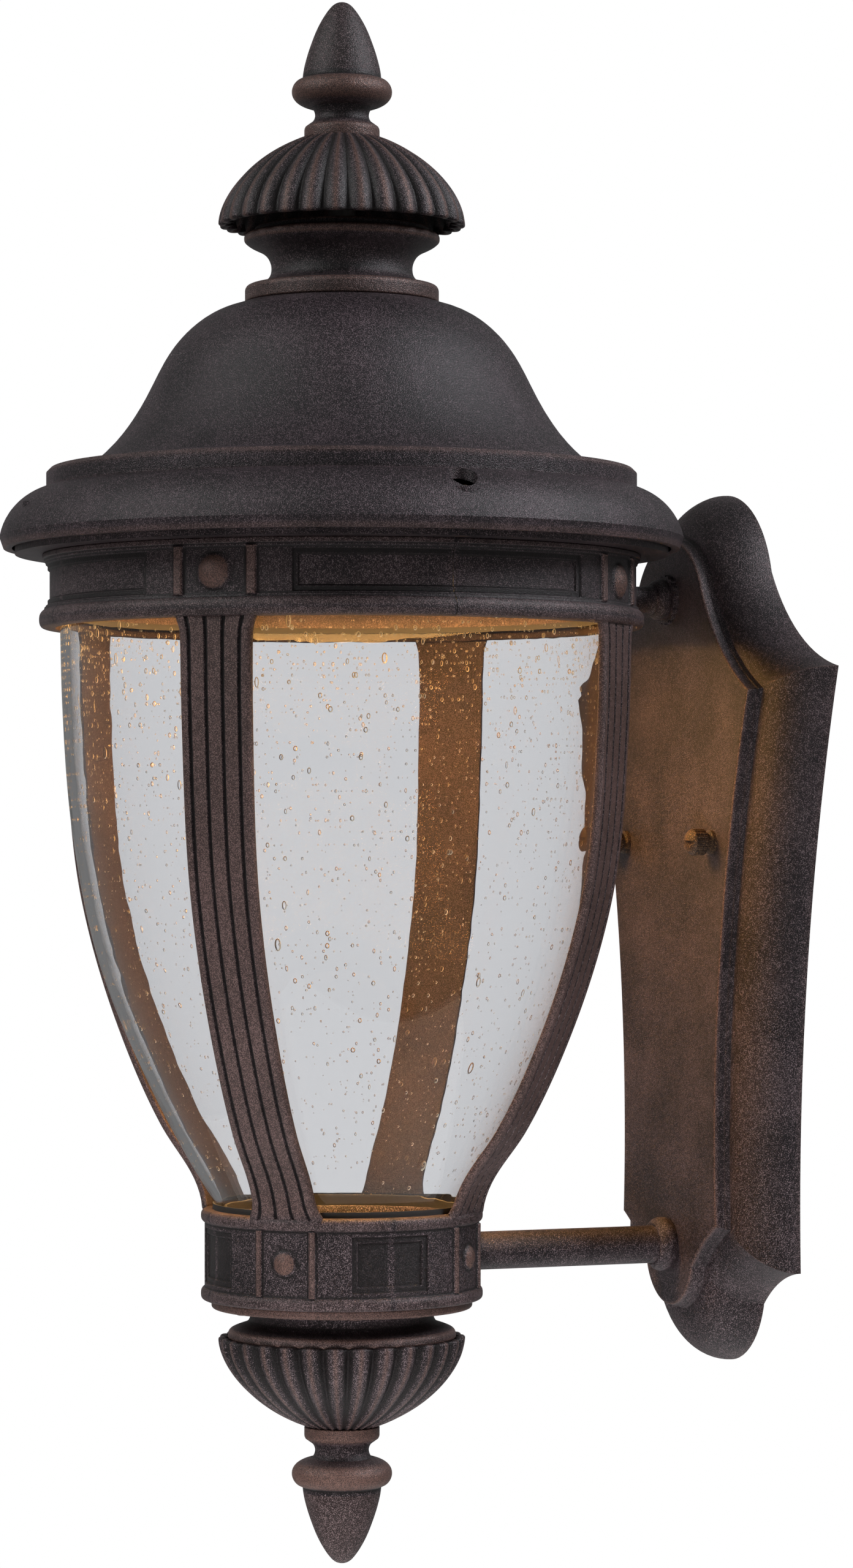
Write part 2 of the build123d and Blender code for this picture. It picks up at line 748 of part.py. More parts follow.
# Studs and the knurled thumb nuts that turn on them
nut_flange = 4.3
nut_waist = 3.3
nut_head = 4.75
nut_bore_depth = 8.0
stud_end = plate_depth + 7.0
knurls = 20
for side_name, (stud_x, stud_z) in zip(("left", "right"), stud_places):
    stud_plane = Plane.XZ.offset(strip).shift_origin((stud_x, -strip, stud_z))
    finish(tube(stud_plane, stud_radius, 0, stud_end - strip), f"stud_{side_name}")
    foot = Plane(origin=(stud_x, -plate_depth, stud_z))
    turning_axis = Axis((stud_x, -plate_depth, stud_z), (0, -1, 0))
    with BuildPart() as thumb_nut:
        with BuildSketch(foot):
            with BuildLine():
                nut_bore = stud_radius + thread_gap
                Polyline((0, -nut_bore_depth), (nut_bore, -nut_bore_depth), (nut_bore, 0), (nut_flange, 0))
                Polyline((nut_flange, 0), (nut_flange, -1.3), (nut_waist, -1.9), (nut_waist, -2.9))
                Polyline((nut_waist, -2.9), (nut_head, -3.6), (nut_head, -7.8))
                ThreePointArc((nut_head, -7.8), (3.2, -9.6), (0.2, -10.4))
                Polyline((0.2, -10.4), (0, -10.4), (0, -nut_bore_depth))
            make_face()
        revolve(axis=turning_axis)
        head_plane = Plane.XZ.offset(plate_depth + 3.4).shift_origin((stud_x, -plate_depth - 3.4, stud_z))
        with BuildSketch(head_plane):
            with PolarLocations(nut_head + 0.1, knurls):
                Circle(0.35)
        extrude(amount=4.6, mode=Mode.SUBTRACT)
        with BuildSketch(head_plane.offset(5.4)):
            Rectangle(12, 1.2)
        extrude(amount=3, mode=Mode.SUBTRACT)
    finish(thumb_nut.part, f"thumb_nut_{side_name}")

# LED engine: a dished pan on the clamp ring, the board and diffuser under it and the driver in it
pan_top = pan_floor + pan_sheet
flange_top = ring_top + pan_sheet
with BuildPart() as led_pan:
    with BuildSketch(side_plane):
        with BuildLine():
            Polyline((0, pan_floor), (pan_dish, pan_floor), (pan_dish, ring_top), (pan_flange, ring_top))
            Polyline((pan_flange, ring_top), (pan_flange, flange_top), (pan_dish - pan_sheet, flange_top))
            Polyline((pan_dish - pan_sheet, flange_top), (pan_dish - pan_sheet, pan_top), (0, pan_top))
            Line((0, pan_top), (0, pan_floor))
        make_face()
    revolve(axis=lantern_axis)
    with BuildSketch(level(pan_floor)):
        with Locations((0, lead_hole_out)):
            Circle(lead_radius + 0.6)
        with PolarLocations(pan_screw_radius, 4, start_angle=45):
            Circle(small_screw + thread_gap)
    extrude(amount=flange_top - pan_floor, mode=Mode.SUBTRACT)
finish(led_pan.part, "led_pan")
finish(screws(pan_screw_radius, (45, 135, 225, 315), flange_top, 1, 4.4), "pan_screws")

board_face = pan_floor - board_thickness
finish(tube(level(board_face), board_radius, 0, board_thickness), "led_board")

with BuildPart() as led_chips:
    with BuildSketch(level(board_face, -1)):
        with PolarLocations(board_radius * 0.7, chip_count):
            Rectangle(5.0, 5.0)
    extrude(amount=0.9)
finish(led_chips.part, "led_chips")

diffuser_face = pan_floor - diffuser_depth
with BuildPart() as led_diffuser:
    with BuildSketch(side_plane):
        with BuildLine():
            Polyline((diffuser_radius, pan_floor), (diffuser_radius, diffuser_face + 3), (57.0, diffuser_face))
            Polyline((57.0, diffuser_face), (0, diffuser_face), (0, diffuser_face + 1.5))
            Polyline((0, diffuser_face + 1.5), (56.4, diffuser_face + 1.5), (58.4, diffuser_face + 3.6))
            Polyline((58.4, diffuser_face + 3.6), (58.4, pan_floor), (diffuser_radius, pan_floor))
        make_face()
    revolve(axis=lantern_axis)
finish(led_diffuser.part, "led_diffuser")

driver_length, driver_width, driver_height = 70.0, 42.0, 24.0
with BuildPart() as led_driver:
    with BuildSketch(level(pan_top)):
        RectangleRounded(driver_length, driver_width, 4.0)
    extrude(amount=driver_height)
    chamfer(led_driver.faces().sort_by(Axis.Z)[-1].edges(), 1.5)
finish(led_driver.part, "led_driver")

# Supply lead: from behind the wall plate through the upper arm, up through the pan, to the driver
lead_start = 8.0
lead_rise = axis_out - lead_hole_out
lead_top = 113.0
driver_end = axis_out - driver_width / 2
with BuildPart() as supply_lead:
    with BuildLine(Plane.YZ) as route:
        FilletPolyline(
            (-lead_start, upper_arm_height),
            (-lead_rise, upper_arm_height),
            (-lead_rise, lead_top),
            (-driver_end, lead_top),
            radius=11.0,
        )
    with BuildSketch(across(lead_start, upper_arm_height)):
        Circle(lead_radius)
    sweep(path=route.wires()[0])
finish(supply_lead.part, "supply_lead")
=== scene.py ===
"""Outdoor wall lantern: rubbed bronze castings round a seeded glass urn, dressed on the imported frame.

Lengths in the shape functions are millimetres in the part's frame: +Z up, the wall at Y = 0, the lantern
in front of it towards -Y. Meshes, materials, lamps and the camera are in metres.
"""

import json
import math

import bpy
import numpy as np
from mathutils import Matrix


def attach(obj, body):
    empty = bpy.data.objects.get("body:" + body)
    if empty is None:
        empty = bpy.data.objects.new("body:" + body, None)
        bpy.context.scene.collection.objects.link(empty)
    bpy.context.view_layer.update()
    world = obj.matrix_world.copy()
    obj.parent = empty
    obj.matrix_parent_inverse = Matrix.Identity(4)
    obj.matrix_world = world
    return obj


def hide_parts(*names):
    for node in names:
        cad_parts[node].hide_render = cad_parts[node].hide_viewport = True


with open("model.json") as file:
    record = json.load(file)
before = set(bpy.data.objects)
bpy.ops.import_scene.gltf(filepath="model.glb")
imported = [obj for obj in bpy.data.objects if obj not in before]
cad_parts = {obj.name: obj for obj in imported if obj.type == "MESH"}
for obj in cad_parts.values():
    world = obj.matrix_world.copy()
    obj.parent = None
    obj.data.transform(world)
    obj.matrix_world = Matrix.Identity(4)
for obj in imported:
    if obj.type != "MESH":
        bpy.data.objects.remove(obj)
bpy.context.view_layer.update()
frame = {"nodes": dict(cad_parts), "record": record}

METRES = 0.001
AXIS_Y = -151.0
QUARTERS = {"front_right": -45.0, "rear_right": 45.0, "rear_left": 135.0, "front_left": 225.0}
WHITE = (1.0, 1.0, 1.0, 1.0)
BLACK = (0.0, 0.0, 0.0, 1.0)


# Shader arithmetic
class Socket:
    """An output socket that can be used in arithmetic; each operator adds one Math node."""

    def __init__(self, finish, link):
        self.finish = finish
        self.link = link

    def maths(self, operation, *values):
        return self.finish.node("ShaderNodeMath", {"operation": operation}, dict(enumerate(values)))

    def __add__(self, other):
        return self.maths("ADD", self, other)

    def __sub__(self, other):
        return self.maths("SUBTRACT", self, other)

    def __mul__(self, other):
        return self.maths("MULTIPLY", self, other)

    def __pow__(self, other):
        return self.maths("POWER", self, other)

    def __rsub__(self, other):
        return self.maths("SUBTRACT", other, self)

    def __abs__(self):
        return self.maths("ABSOLUTE", self)

    __radd__ = __add__
    __rmul__ = __mul__

    def at_least(self, other):
        return self.maths("MAXIMUM", self, other)

    def at_most(self, other):
        return self.maths("MINIMUM", self, other)

    def ramp(self, low, high):
        """0 below low, 1 above high, eased between."""
        sockets = {"Value": self, "From Min": low, "From Max": high}
        return self.finish.node("ShaderNodeMapRange", {"interpolation_type": "SMOOTHSTEP"}, sockets)


class Finish:
    """A material or world and its node tree."""

    def __init__(self, owner):
        owner.use_nodes = True
        self.owner = owner
        self.tree = owner.node_tree
        self.tree.nodes.clear()

    def node(self, kind, settings=None, sockets=None, out=0):
        """Add a node of a kind: its settings first, then its sockets' values or links; gives one output."""
        made = self.tree.nodes.new(kind)
        for key, value in (settings or {}).items():
            setattr(made, key, value)
        for key, value in (sockets or {}).items():
            if isinstance(value, Socket):
                self.tree.links.new(value.link, made.inputs[key])
            else:
                made.inputs[key].default_value = value
        return Socket(self, made.outputs[out]) if made.outputs else made

    def place(self):
        """The point on the piece."""
        return self.node("ShaderNodeTexCoord", out="Object")

    def along(self, axis):
        """The point's X, Y or Z."""
        return self.node("ShaderNodeSeparateXYZ", None, {0: self.place()}, out=axis)

    def ray(self, kind):
        """What is known of the ray that meets the surface, such as Is Camera Ray."""
        return self.node("ShaderNodeLightPath", out=kind)

    def noise(self, scale, detail):
        sockets = {"Vector": self.place(), "Scale": scale, "Detail": detail}
        return self.node("ShaderNodeTexNoise", None, sockets)

    def mix(self, factor, first, second):
        """A colour between two colours."""
        return self.node("ShaderNodeMix", {"data_type": "RGBA"}, {0: factor, 6: first, 7: second}, out=2)

    def attribute(self, name):
        return self.node("ShaderNodeAttribute", {"attribute_name": name}, out="Fac")

    def bump(self, height, strength, distance):
        sockets = {"Height": height, "Strength": strength, "Distance": distance}
        return self.node("ShaderNodeBump", None, sockets)

    def blend(self, factor, first, second):
        """A shader between two shaders."""
        return self.node("ShaderNodeMixShader", None, {0: factor, 1: first, 2: second})

    def surface(self, shader, kind="ShaderNodeOutputMaterial"):
        self.node(kind, None, {"Surface": shader})
        return self.owner


def rgb(red, green, blue):
    """A linear colour from the 0 to 255 values of a screen."""
    parts = np.array([red, green, blue]) / 255.0
    linear = np.where(parts <= 0.04045, parts / 12.92, ((parts + 0.055) / 1.055) ** 2.4)
    return (*linear.tolist(), 1.0)


# The bronze coat: its patterns' scales, the height of its sand and the near-black colour of the shade painted
# into its hollows
CLOUD_SCALE = 38.0
DRIFT_SCALE = 760.0
GRAIN_SCALE = 3000.0
SAND_HEIGHT = 0.00034
# Near-black colour of the painted shade in hollows and folds
HOLLOW_SHADE = (0.006, 0.005, 0.005, 1.0)


def bronze(name, dark, brown, grit, rub, rub_extra=None, sand=1.0):
    """Dark sand-textured coat: clouds of brown, light grit on the grains, copper rubbed bare on edges.

    The piece's wear_and_painted_light attribute is above 0 where the coat is rubbed, or where a face is
    painted lighter as if lit, and below 0 where shade is painted, near black, into hollows and folds.
    """
    coat = Finish(bpy.data.materials.new(name))
    wear_and_painted_light = coat.attribute("wear_and_painted_light")
    cloud = coat.noise(CLOUD_SCALE, 3.0)
    grain = coat.noise(GRAIN_SCALE, 1.0)
    sanding = grain * 0.8 + coat.noise(DRIFT_SCALE, 2.0) * 0.2
    rubbed = wear_and_painted_light.at_least(0.0)
    if rub_extra:
        rubbed = rubbed.at_least(rub_extra(coat))
    bare = rubbed.ramp(0.05, 0.6)
    # Painted shade: where the attribute is below 0, hollows and folds are darkened.
    hollow = (wear_and_painted_light * -1.0).ramp(0.05, 0.6)
    speck = (sanding + rubbed * 0.12 + (cloud - 0.5) * 0.12).ramp(0.5, 0.67)
    base = coat.mix(cloud.ramp(0.35, 0.7), dark, brown)
    base = coat.mix(bare * 0.24, base, rub)
    base = coat.mix(speck * 0.9, base, coat.mix(bare, grit, rub))
    # Painted shade: hollows and folds mixed towards near black.
    base = coat.mix(hollow * 0.9, base, HOLLOW_SHADE)
    return coat.surface(coat.node("ShaderNodeBsdfPrincipled", None, {
        "Base Color": base,
        "Metallic": 0.1 + speck * bare * 0.3,
        "Roughness": 0.46 - speck * bare * 0.08 + (grain - 0.5) * 0.24,
        "Specular IOR Level": 0.38,
        "Normal": coat.bump(sanding * sand, 0.8, SAND_HEIGHT),
    }))


def roof_edges(coat):
    """Rub on the roof's turned edges: the brim's lip, the ledge over the brim and the ledge's foot.

    Each is where a span of distance from the axis meets a span of height.
    """
    lip_out, lip_top = (0.1165, 0.1185), (0.1040, 0.1062)
    ledge_out, ledge_up = (0.1012, 0.1032), (0.1275, 0.1302)
    foot_out, foot_half, foot_top = 0.1045, 0.0016, (0.1243, 0.1258)
    x, y, z = coat.along("X"), coat.along("Y") - AXIS_Y * METRES, coat.along("Z")
    out = (x * x + y * y) ** 0.5
    lip = out.ramp(*lip_out) * (1.0 - z.ramp(*lip_top))
    ledge = out.ramp(*ledge_out) * z.ramp(*ledge_up)
    foot = (1.0 - abs(out - foot_out).ramp(0.0, foot_half)) * (1.0 - z.ramp(*foot_top))
    return (lip * 0.28).at_least(ledge * 0.32).at_least(foot * 0.2)


# The faint mottle of the plain finishes
MOTTLE_SCALE = 300.0
MOTTLE_SHADE = 0.7
MOTTLE_HEIGHT = 0.00005


def plain(name, colour, roughness, metallic=0.0, **fixed):
    """A one-colour finish with a faint mottle in colour, gloss and surface."""
    coat = Finish(bpy.data.materials.new(name))
    mottle = coat.noise(MOTTLE_SCALE, 4.0)
    shade = (*(part * MOTTLE_SHADE for part in colour[:3]), 1.0)
    sockets = {
        "Base Color": coat.mix(mottle.ramp(0.3, 0.7), shade, colour),
        "Roughness": roughness + (mottle - 0.5) * 0.2,
        "Metallic": metallic,
        "Normal": coat.bump(mottle, 0.3, MOTTLE_HEIGHT),
    }
    sockets.update({key.replace("_", " "): value for key, value in fixed.items()})
    return coat.surface(coat.node("ShaderNodeBsdfPrincipled", None, sockets))


def seeded_glass():
    """Clear soda glass with a faint grey cast; the lamps' rays pass straight through it."""
    glass = Finish(bpy.data.materials.new("seeded_glass"))
    body = glass.node("ShaderNodeBsdfPrincipled", None, {
        "Base Color": (0.785, 0.79, 0.805, 1.0),
        "Roughness": 0.0,
        "IOR": 1.36,
        "Transmission Weight": 1.0,
        "Normal": glass.bump(glass.noise(42.0, 2.0), 0.03, 0.004),
    })
    clear = glass.node("ShaderNodeBsdfTransparent", None, {"Color": (0.5, 0.5, 0.5, 1.0)})
    straight = glass.ray("Is Shadow Ray").at_least(glass.ray("Is Diffuse Ray"))
    return glass.surface(glass.blend(straight, body, clear))


def bubble_rims():
    """Air in glass: clear where it faces the eye; its turned-away wall has painted shade above and a painted
    pale glint below.

    Close to the lamp, at the top of the urn, the wall has a painted gold glow.
    """
    seed = Finish(bpy.data.materials.new("glass_seeds"))
    turned = seed.node("ShaderNodeLayerWeight", None, {"Blend": 0.5}, out="Facing")
    # Painted light: the way the wall faces picks dark painted shade or a pale painted glint.
    sockets = {0: seed.node("ShaderNodeNewGeometry", out="Normal"), 1: (0.35, 0.55, -0.75)}
    below = seed.node("ShaderNodeVectorMath", {"operation": "DOT_PRODUCT"}, sockets, out="Value")
    rim = seed.node("ShaderNodeBsdfPrincipled", None, {
        "Base Color": seed.mix(below.ramp(0.0, 0.6), rgb(84, 68, 54), rgb(250, 236, 210)),
        "Roughness": 0.3,
        # Painted glow: gold emission near the top of the urn.
        "Emission Color": seed.mix(seed.along("Z").ramp(0.03, 0.07), BLACK, (0.3, 0.18, 0.06, 1.0)),
        "Emission Strength": 1.0,
    })
    clear = seed.node("ShaderNodeBsdfTransparent")
    return seed.surface(seed.blend(turned.ramp(0.06, 0.38) * 0.95, clear, rim))


DARK = rgb(16, 12, 14)
BROWN = rgb(28, 21, 23)
GRIT = rgb(110, 96, 99)
RUB = rgb(112, 86, 78)
finishes = {
    "bronze": bronze("rubbed_bronze", DARK, BROWN, GRIT, RUB),
    "thumb_nut_bronze": bronze(
        "thumb_nut_bronze", rgb(26, 20, 17), rgb(44, 33, 26), rgb(118, 90, 66), RUB, sand=0.4),
    "seeded_glass": seeded_glass(),
    "screw_bronze": plain("screw_bronze", rgb(84, 66, 56), 0.45, 0.5),
    "zinc_steel": plain("zinc_steel", rgb(186, 186, 182), 0.38, 0.9),
    "green_screw": plain("green_screw", rgb(46, 120, 60), 0.4, 0.3),
    "gasket_rubber": plain("gasket_rubber", rgb(38, 37, 36), 0.8),
    "pan_aluminium": plain("pan_aluminium", rgb(200, 200, 198), 0.42, 0.7),
    "board_white": plain("board_white", rgb(232, 231, 226), 0.5),
    "led_phosphor": plain("led_phosphor", rgb(236, 196, 70), 0.5),
    "opal_plastic": plain(
        "opal_plastic", rgb(240, 236, 226), 0.4, Emission_Color=(1.0, 0.72, 0.4, 1.0), Emission_Strength=0.8),
    "driver_plastic": plain("driver_plastic", rgb(52, 53, 56), 0.6),
    "lead_rubber": plain("lead_rubber", rgb(34, 34, 35), 0.7),
}
roof_bronze = bronze("roof_bronze", rgb(14, 10, 13), rgb(25, 18, 22), rgb(102, 88, 93), RUB, roof_edges)
seed_finish = bubble_rims()
for part in frame["record"]["subparts"]:
    node = frame["nodes"][part["node"]]
    node.data.materials.clear()
    node.data.materials.append(finishes[part["material_slot"]])
frame["nodes"]["roof"].data.materials[0] = roof_bronze


# Shape tools
def ease(low, high, value):
    """0 below low, 1 above high, a smooth S between."""
    t = np.clip((value - low) / (high - low), 0.0, 1.0)
    return t * t * (3.0 - 2.0 * t)


def rounded(corners, radius, steps):
    """An open outline with each inner corner replaced by a parabola that leaves its two sides at a radius."""
    corners = np.array(corners, float)
    radius = np.broadcast_to(np.array(radius, float), len(corners))[1:-1, None]
    point, before, after = corners[1:-1], corners[:-2] - corners[1:-1], corners[2:] - corners[1:-1]
    length_before = np.linalg.norm(before, axis=1, keepdims=True)
    length_after = np.linalg.norm(after, axis=1, keepdims=True)
    start = point + before * np.minimum(radius / length_before, 0.48)
    end = point + after * np.minimum(radius / length_after, 0.48)
    t = np.linspace(0.0, 1.0, steps)[None, :, None]
    bend = (1 - t) ** 2 * start[:, None] + 2 * t * (1 - t) * point[:, None] + t**2 * end[:, None]
    return np.vstack([corners[:1], bend.reshape(-1, 2), corners[-1:]])


def smooth_curve(points, count):
    """A curve through points, by cubic pieces whose slopes come from the neighbours on either side."""
    points = np.array(points, float)
    way = np.concatenate([[0.0], np.cumsum(np.linalg.norm(np.diff(points, axis=0), axis=1))])
    slope = np.gradient(points, way, axis=0)
    s = np.linspace(0.0, way[-1], count)
    i = np.clip(np.searchsorted(way, s, side="right") - 1, 0, len(points) - 2)
    gap = (way[i + 1] - way[i])[:, None]
    t = ((s - way[i]) / gap[:, 0])[:, None]
    a = (2 * t**3 - 3 * t**2 + 1) * points[i] + (t**3 - 2 * t**2 + t) * gap * slope[i]
    return a + (3 * t**2 - 2 * t**3) * points[i + 1] + (t**3 - t**2) * gap * slope[i + 1]


def outer_normals(meridian):
    """Unit normals of a curve of radius and height, square to its direction and away from the axis."""
    along = np.gradient(meridian, axis=0)
    along /= np.linalg.norm(along, axis=1, keepdims=True)
    normal = np.stack([-along[:, 1], along[:, 0]], axis=1)
    return normal * np.sign(normal[0, 0])


def cells(rows, columns, close_rows=False):
    """Corner numbers of a grid's four-sided cells: its rows are rings, and its last row can join its first."""
    r = np.arange(rows if close_rows else rows - 1)[:, None]
    c = np.arange(columns)[None, :]
    r_next, c_next = (r + 1) % rows, (c + 1) % columns
    corners = [r * columns + c, r * columns + c_next, r_next * columns + c_next, r_next * columns + c]
    return np.stack([np.broadcast_to(k, (r.size, c.size)) for k in corners], axis=-1).reshape(-1, 4)


def from_axis(radius, angle, height):
    """Points at a radius and angle in degrees round the lantern's axis, at a height."""
    turn = np.radians(angle)
    x, y, z = np.broadcast_arrays(radius * np.cos(turn), AXIS_Y + radius * np.sin(turn), height)
    return np.stack([x, y, z], axis=-1)


def axis_distance(points):
    """Distance of points from the lantern's axis."""
    return np.hypot(points[:, 0], points[:, 1] - AXIS_Y)


def axis_angle(points):
    """Angle of points in degrees round the lantern's axis."""
    return np.degrees(np.arctan2(points[:, 1] - AXIS_Y, points[:, 0]))


def capped(grid):
    """Points and faces of a tube-like grid whose rows are closed rings, with both end rings capped.

    Faces are arrays of corner numbers, one array for each number of corners.
    """
    rows, columns = grid.shape[:2]
    ring = np.arange(columns)
    ends = np.stack([ring[::-1], ring + (rows - 1) * columns])
    return grid.reshape(-1, 3), [cells(rows, columns), ends]


def lathe(profile, columns):
    """A profile of radius and height turned round the axis, with its two end rings capped."""
    angle = np.arange(columns) * 360.0 / columns
    return capped(from_axis(profile[:, :1], angle[None, :], profile[:, 1:]))


def joined(*shells):
    """Several shells as one: each shell's corner numbers go on after the points before it."""
    starts = np.cumsum([0] + [len(points) for points, faces in shells])
    every_face = [block + start for start, (points, faces) in zip(starts, shells) for block in faces]
    return np.vstack([points for points, faces in shells]), every_face


def outwards(shell):
    """The same closed shell, turned so that the volume in it, summed over its faces' fans, is positive."""
    points, faces = shell
    volume = 0.0
    for block in faces:
        corners = points[block]
        volume += np.sum(corners[:, :1] * np.cross(corners[:, 1:-1], corners[:, 2:]))
    return shell if volume > 0.0 else (points, [block[:, ::-1] for block in faces])


def worn_and_shaded(mesh):
    """Per vertex, how sharply the surface bends away (above 0, which is rubbed) or folds in (below 0, which
    gets painted shade), and its normal.

    Along each edge the bend is twice the neighbour's height over the tangent plane, divided by the square of
    the edge's length. The sharpest bend at a vertex is then evened out with its neighbours, three times over.
    """
    count = len(mesh.vertices)
    place = np.empty(count * 3)
    mesh.vertices.foreach_get("co", place)
    place = place.reshape(-1, 3) / METRES
    normal = np.empty(count * 3)
    mesh.vertex_normals.foreach_get("vector", normal)
    normal = normal.reshape(-1, 3)
    ends = np.empty(len(mesh.edges) * 2, int)
    mesh.edges.foreach_get("vertices", ends)
    a, b = ends.reshape(-1, 2).T
    run = place[b] - place[a]
    square = np.maximum(np.einsum("ij,ij->i", run, run), 0.02)
    bend_a = -2.0 * np.einsum("ij,ij->i", run, normal[a]) / square
    bend_b = 2.0 * np.einsum("ij,ij->i", run, normal[b]) / square
    most, least = np.zeros(count), np.zeros(count)
    np.maximum.at(most, a, bend_a)
    np.maximum.at(most, b, bend_b)
    np.minimum.at(least, a, bend_a)
    np.minimum.at(least, b, bend_b)
    # Folds get values below 0, which the coat paints as shade.
    value = np.where(most > -least, ease(0.06, 0.5, most), -ease(0.10, 0.7, -least))
    degree = np.bincount(np.concatenate([a, b]), minlength=count) + 2.0
    for _ in range(3):
        around = np.bincount(a, value[b], count) + np.bincount(b, value[a], count)
        value = (2.0 * value + around) / degree
    return value, normal


def put(name, shell, slot, stands_for=(), sharp=38.0, wear_and_painted_light=None):
    """Put a shell down as a piece: metres, smooth with sharp edges kept, riding on the lantern.

    Its rub, with painted light and shade, comes from its bends, or from a function of its points in
    millimetres, bends and normals.
    """
    points, faces = shell
    mesh = bpy.data.meshes.new(name)
    mesh.from_pydata((points * METRES).tolist(), [], [face for block in faces for face in block.tolist()])
    mesh.update()
    mesh.polygons.foreach_set("use_smooth", np.ones(len(mesh.polygons), bool))
    if sharp:
        mesh.set_sharp_from_angle(angle=math.radians(sharp))
    bends, normals = worn_and_shaded(mesh)
    values = wear_and_painted_light(points, bends, normals) if wear_and_painted_light else bends
    mesh.attributes.new("wear_and_painted_light", "FLOAT", "POINT").data.foreach_set("value", values.astype(np.float32))
    mesh.materials.append(finishes[slot])
    piece = bpy.data.objects.new(name, mesh)
    bpy.context.scene.collection.objects.link(piece)
    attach(piece, "lantern")
    if stands_for:
        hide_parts(*stands_for)
    return piece


# Turned finials: acorn, ring, neck and collar, as radius and distance from the collar's foot
TOP_FINIAL_FOOT = 248.0
BOTTOM_FINIAL_FOOT = -206.0
COLLAR_HEIGHT = 5.0
acorn = smooth_curve(
    [(0.3, 48.5), (1.6, 48.25), (3.1, 47.4), (4.6, 45.8), (6.6, 42.9), (8.75, 38.9), (10.8, 33.8),
     (12.5, 28.6), (13.6, 23.9), (13.9, 21.5)], 38)
ring = smooth_curve(
    [(14.3, 21.2), (15.9, 20.4), (17.2, 18.8), (17.7, 16.9), (17.45, 15.2), (16.4, 13.6), (14.6, 12.3),
     (12.6, 11.5), (11.2, 11.1)], 26)
finial_neck = smooth_curve([(10.6, 11.2), (9.8, 9.9), (9.5, 8.2), (10.1, 6.5), (11.7, 5.2), (12.8, 4.4)], 16)
collar = rounded([(12.9, 4.3), (13.3, 3.5), (13.3, 0.2), (12.9, 0.0)], [0, 0.8, 0.3, 0], 5)
finial = np.vstack([acorn, ring, finial_neck, collar])


def turned_wear_and_shade(points, bends, normals):
    """Bends of a turned piece, with the rub on its edges held back and painted shade left in its folds."""
    return np.where(bends > 0.0, 0.5 * bends, bends)


def finial_wear_and_shade(points, bends, normals):
    """Rub on a finial's ring and collar, by distance from the axis, a little all over, and painted shade in
    folds.
    """
    out = axis_distance(points)
    height = points[:, 2]
    from_foot = np.minimum(np.abs(height - TOP_FINIAL_FOOT), np.abs(height - BOTTOM_FINIAL_FOOT))
    ring_rub = 0.5 * ease(14.3, 17.0, out)
    collar_rub = 0.3 * ease(12.0, 12.9, out) * (from_foot < COLLAR_HEIGHT)
    rub_all_over = np.where(height > 0.0, 0.18, 0.24)
    # Folds keep their bends below 0: painted shade.
    return np.where(bends < -0.1, bends, np.maximum(ring_rub, collar_rub) + rub_all_over)


for name, foot, up in (("top_finial", TOP_FINIAL_FOOT, 1.0), ("bottom_finial", BOTTOM_FINIAL_FOOT, -1.0)):
    profile = np.stack([finial[:, 0], foot + up * finial[:, 1]], axis=1)
    put(f"{name}_turned", outwards(lathe(profile, 96)), "bronze", [name], wear_and_painted_light=finial_wear_and_shade)


# Fluted cap and bowl
RIBS = 30
SAMPLES_PER_RIB = 18
CAP_RIM = 218.0
BOWL_RIM = -175.0
CREST_RADIUS = 43.6
CREST_RISE = 33.5
CREST_POWER = 1.7
CROWN_HEIGHT = 31.0
VALLEY_DEPTH = 2.7
LIP_RADIUS = 1.25


def from_crest(angle):
    """0 on a rib's crest and 1 in the valley beside it, from the angle round the axis."""
    return 1.0 - np.abs((angle * RIBS / 360.0) % 1.0 - 0.5) * 2.0


def gadroons(rim, up):
    """A dome of ribs on a rim height, pointing up or down, with a thin lip and a hollow behind it.

    Crests follow a superellipse with the crest's radius, rise and power. Between crests the wall drops by a
    depth times the distance from the crest to a power. The depth is the valley's, times the crest's share of
    its full radius to the power 0.55. The power falls from 2.25 at the rim, which gives broad ribs with sharp
    valleys, to 0.75 at the crown, which gives narrow ridges with wide valleys. The lip is half an ellipse,
    deeper at the crests.
    """
    angle = np.arange(RIBS * SAMPLES_PER_RIB) * 360.0 / (RIBS * SAMPLES_PER_RIB)
    off = np.sqrt(from_crest(angle) ** 2 + 0.004)
    height = CROWN_HEIGHT * (1.0 - np.linspace(0.0, 1.0, 44) ** 0.8)[:, None]
    crest = CREST_RADIUS * (1.0 - (height / CREST_RISE) ** CREST_POWER) ** (1 / CREST_POWER)
    share = crest / CREST_RADIUS
    power = 0.75 + 1.5 * ease(0.4, 1.0, share)
    wall = crest - VALLEY_DEPTH * share**0.55 * np.clip(off, 0, 1) ** power
    turn = np.linspace(0.0, math.pi, 9)[1:, None]
    lip_wall = wall[-1] - LIP_RADIUS + LIP_RADIUS * np.cos(turn)
    lip_height = -(0.35 + 0.55 * (1.0 - off**2)) * np.sin(turn)
    hollow = smooth_curve([(39.6, 0.0), (38.0, 7.0), (32.0, 15.0), (22.0, 21.5), (12.0, 24.0)], 18)[1:]
    all_round = np.ones(angle.size)
    radius = np.vstack([wall, lip_wall, hollow[:, :1] * all_round])
    height = np.vstack([height * all_round, lip_height, hollow[:, 1:] * all_round])
    return outwards(capped(from_axis(radius, angle, rim + up * height)))


def gadroon_wear_and_shade(points, bends, normals):
    """Rub along the crests and painted shade in the valleys; the bowl has less rub and more painted shade than
    the cap.
    """
    off = from_crest(axis_angle(points))
    on_cap = points[:, 2] > 0.0
    rub = np.where(on_cap, 0.55, 0.42) * (1.0 - off) ** 1.8
    # Painted shade: valleys darkened, more so on the bowl.
    return rub - np.where(on_cap, 1.0, 1.3) * off**2.2


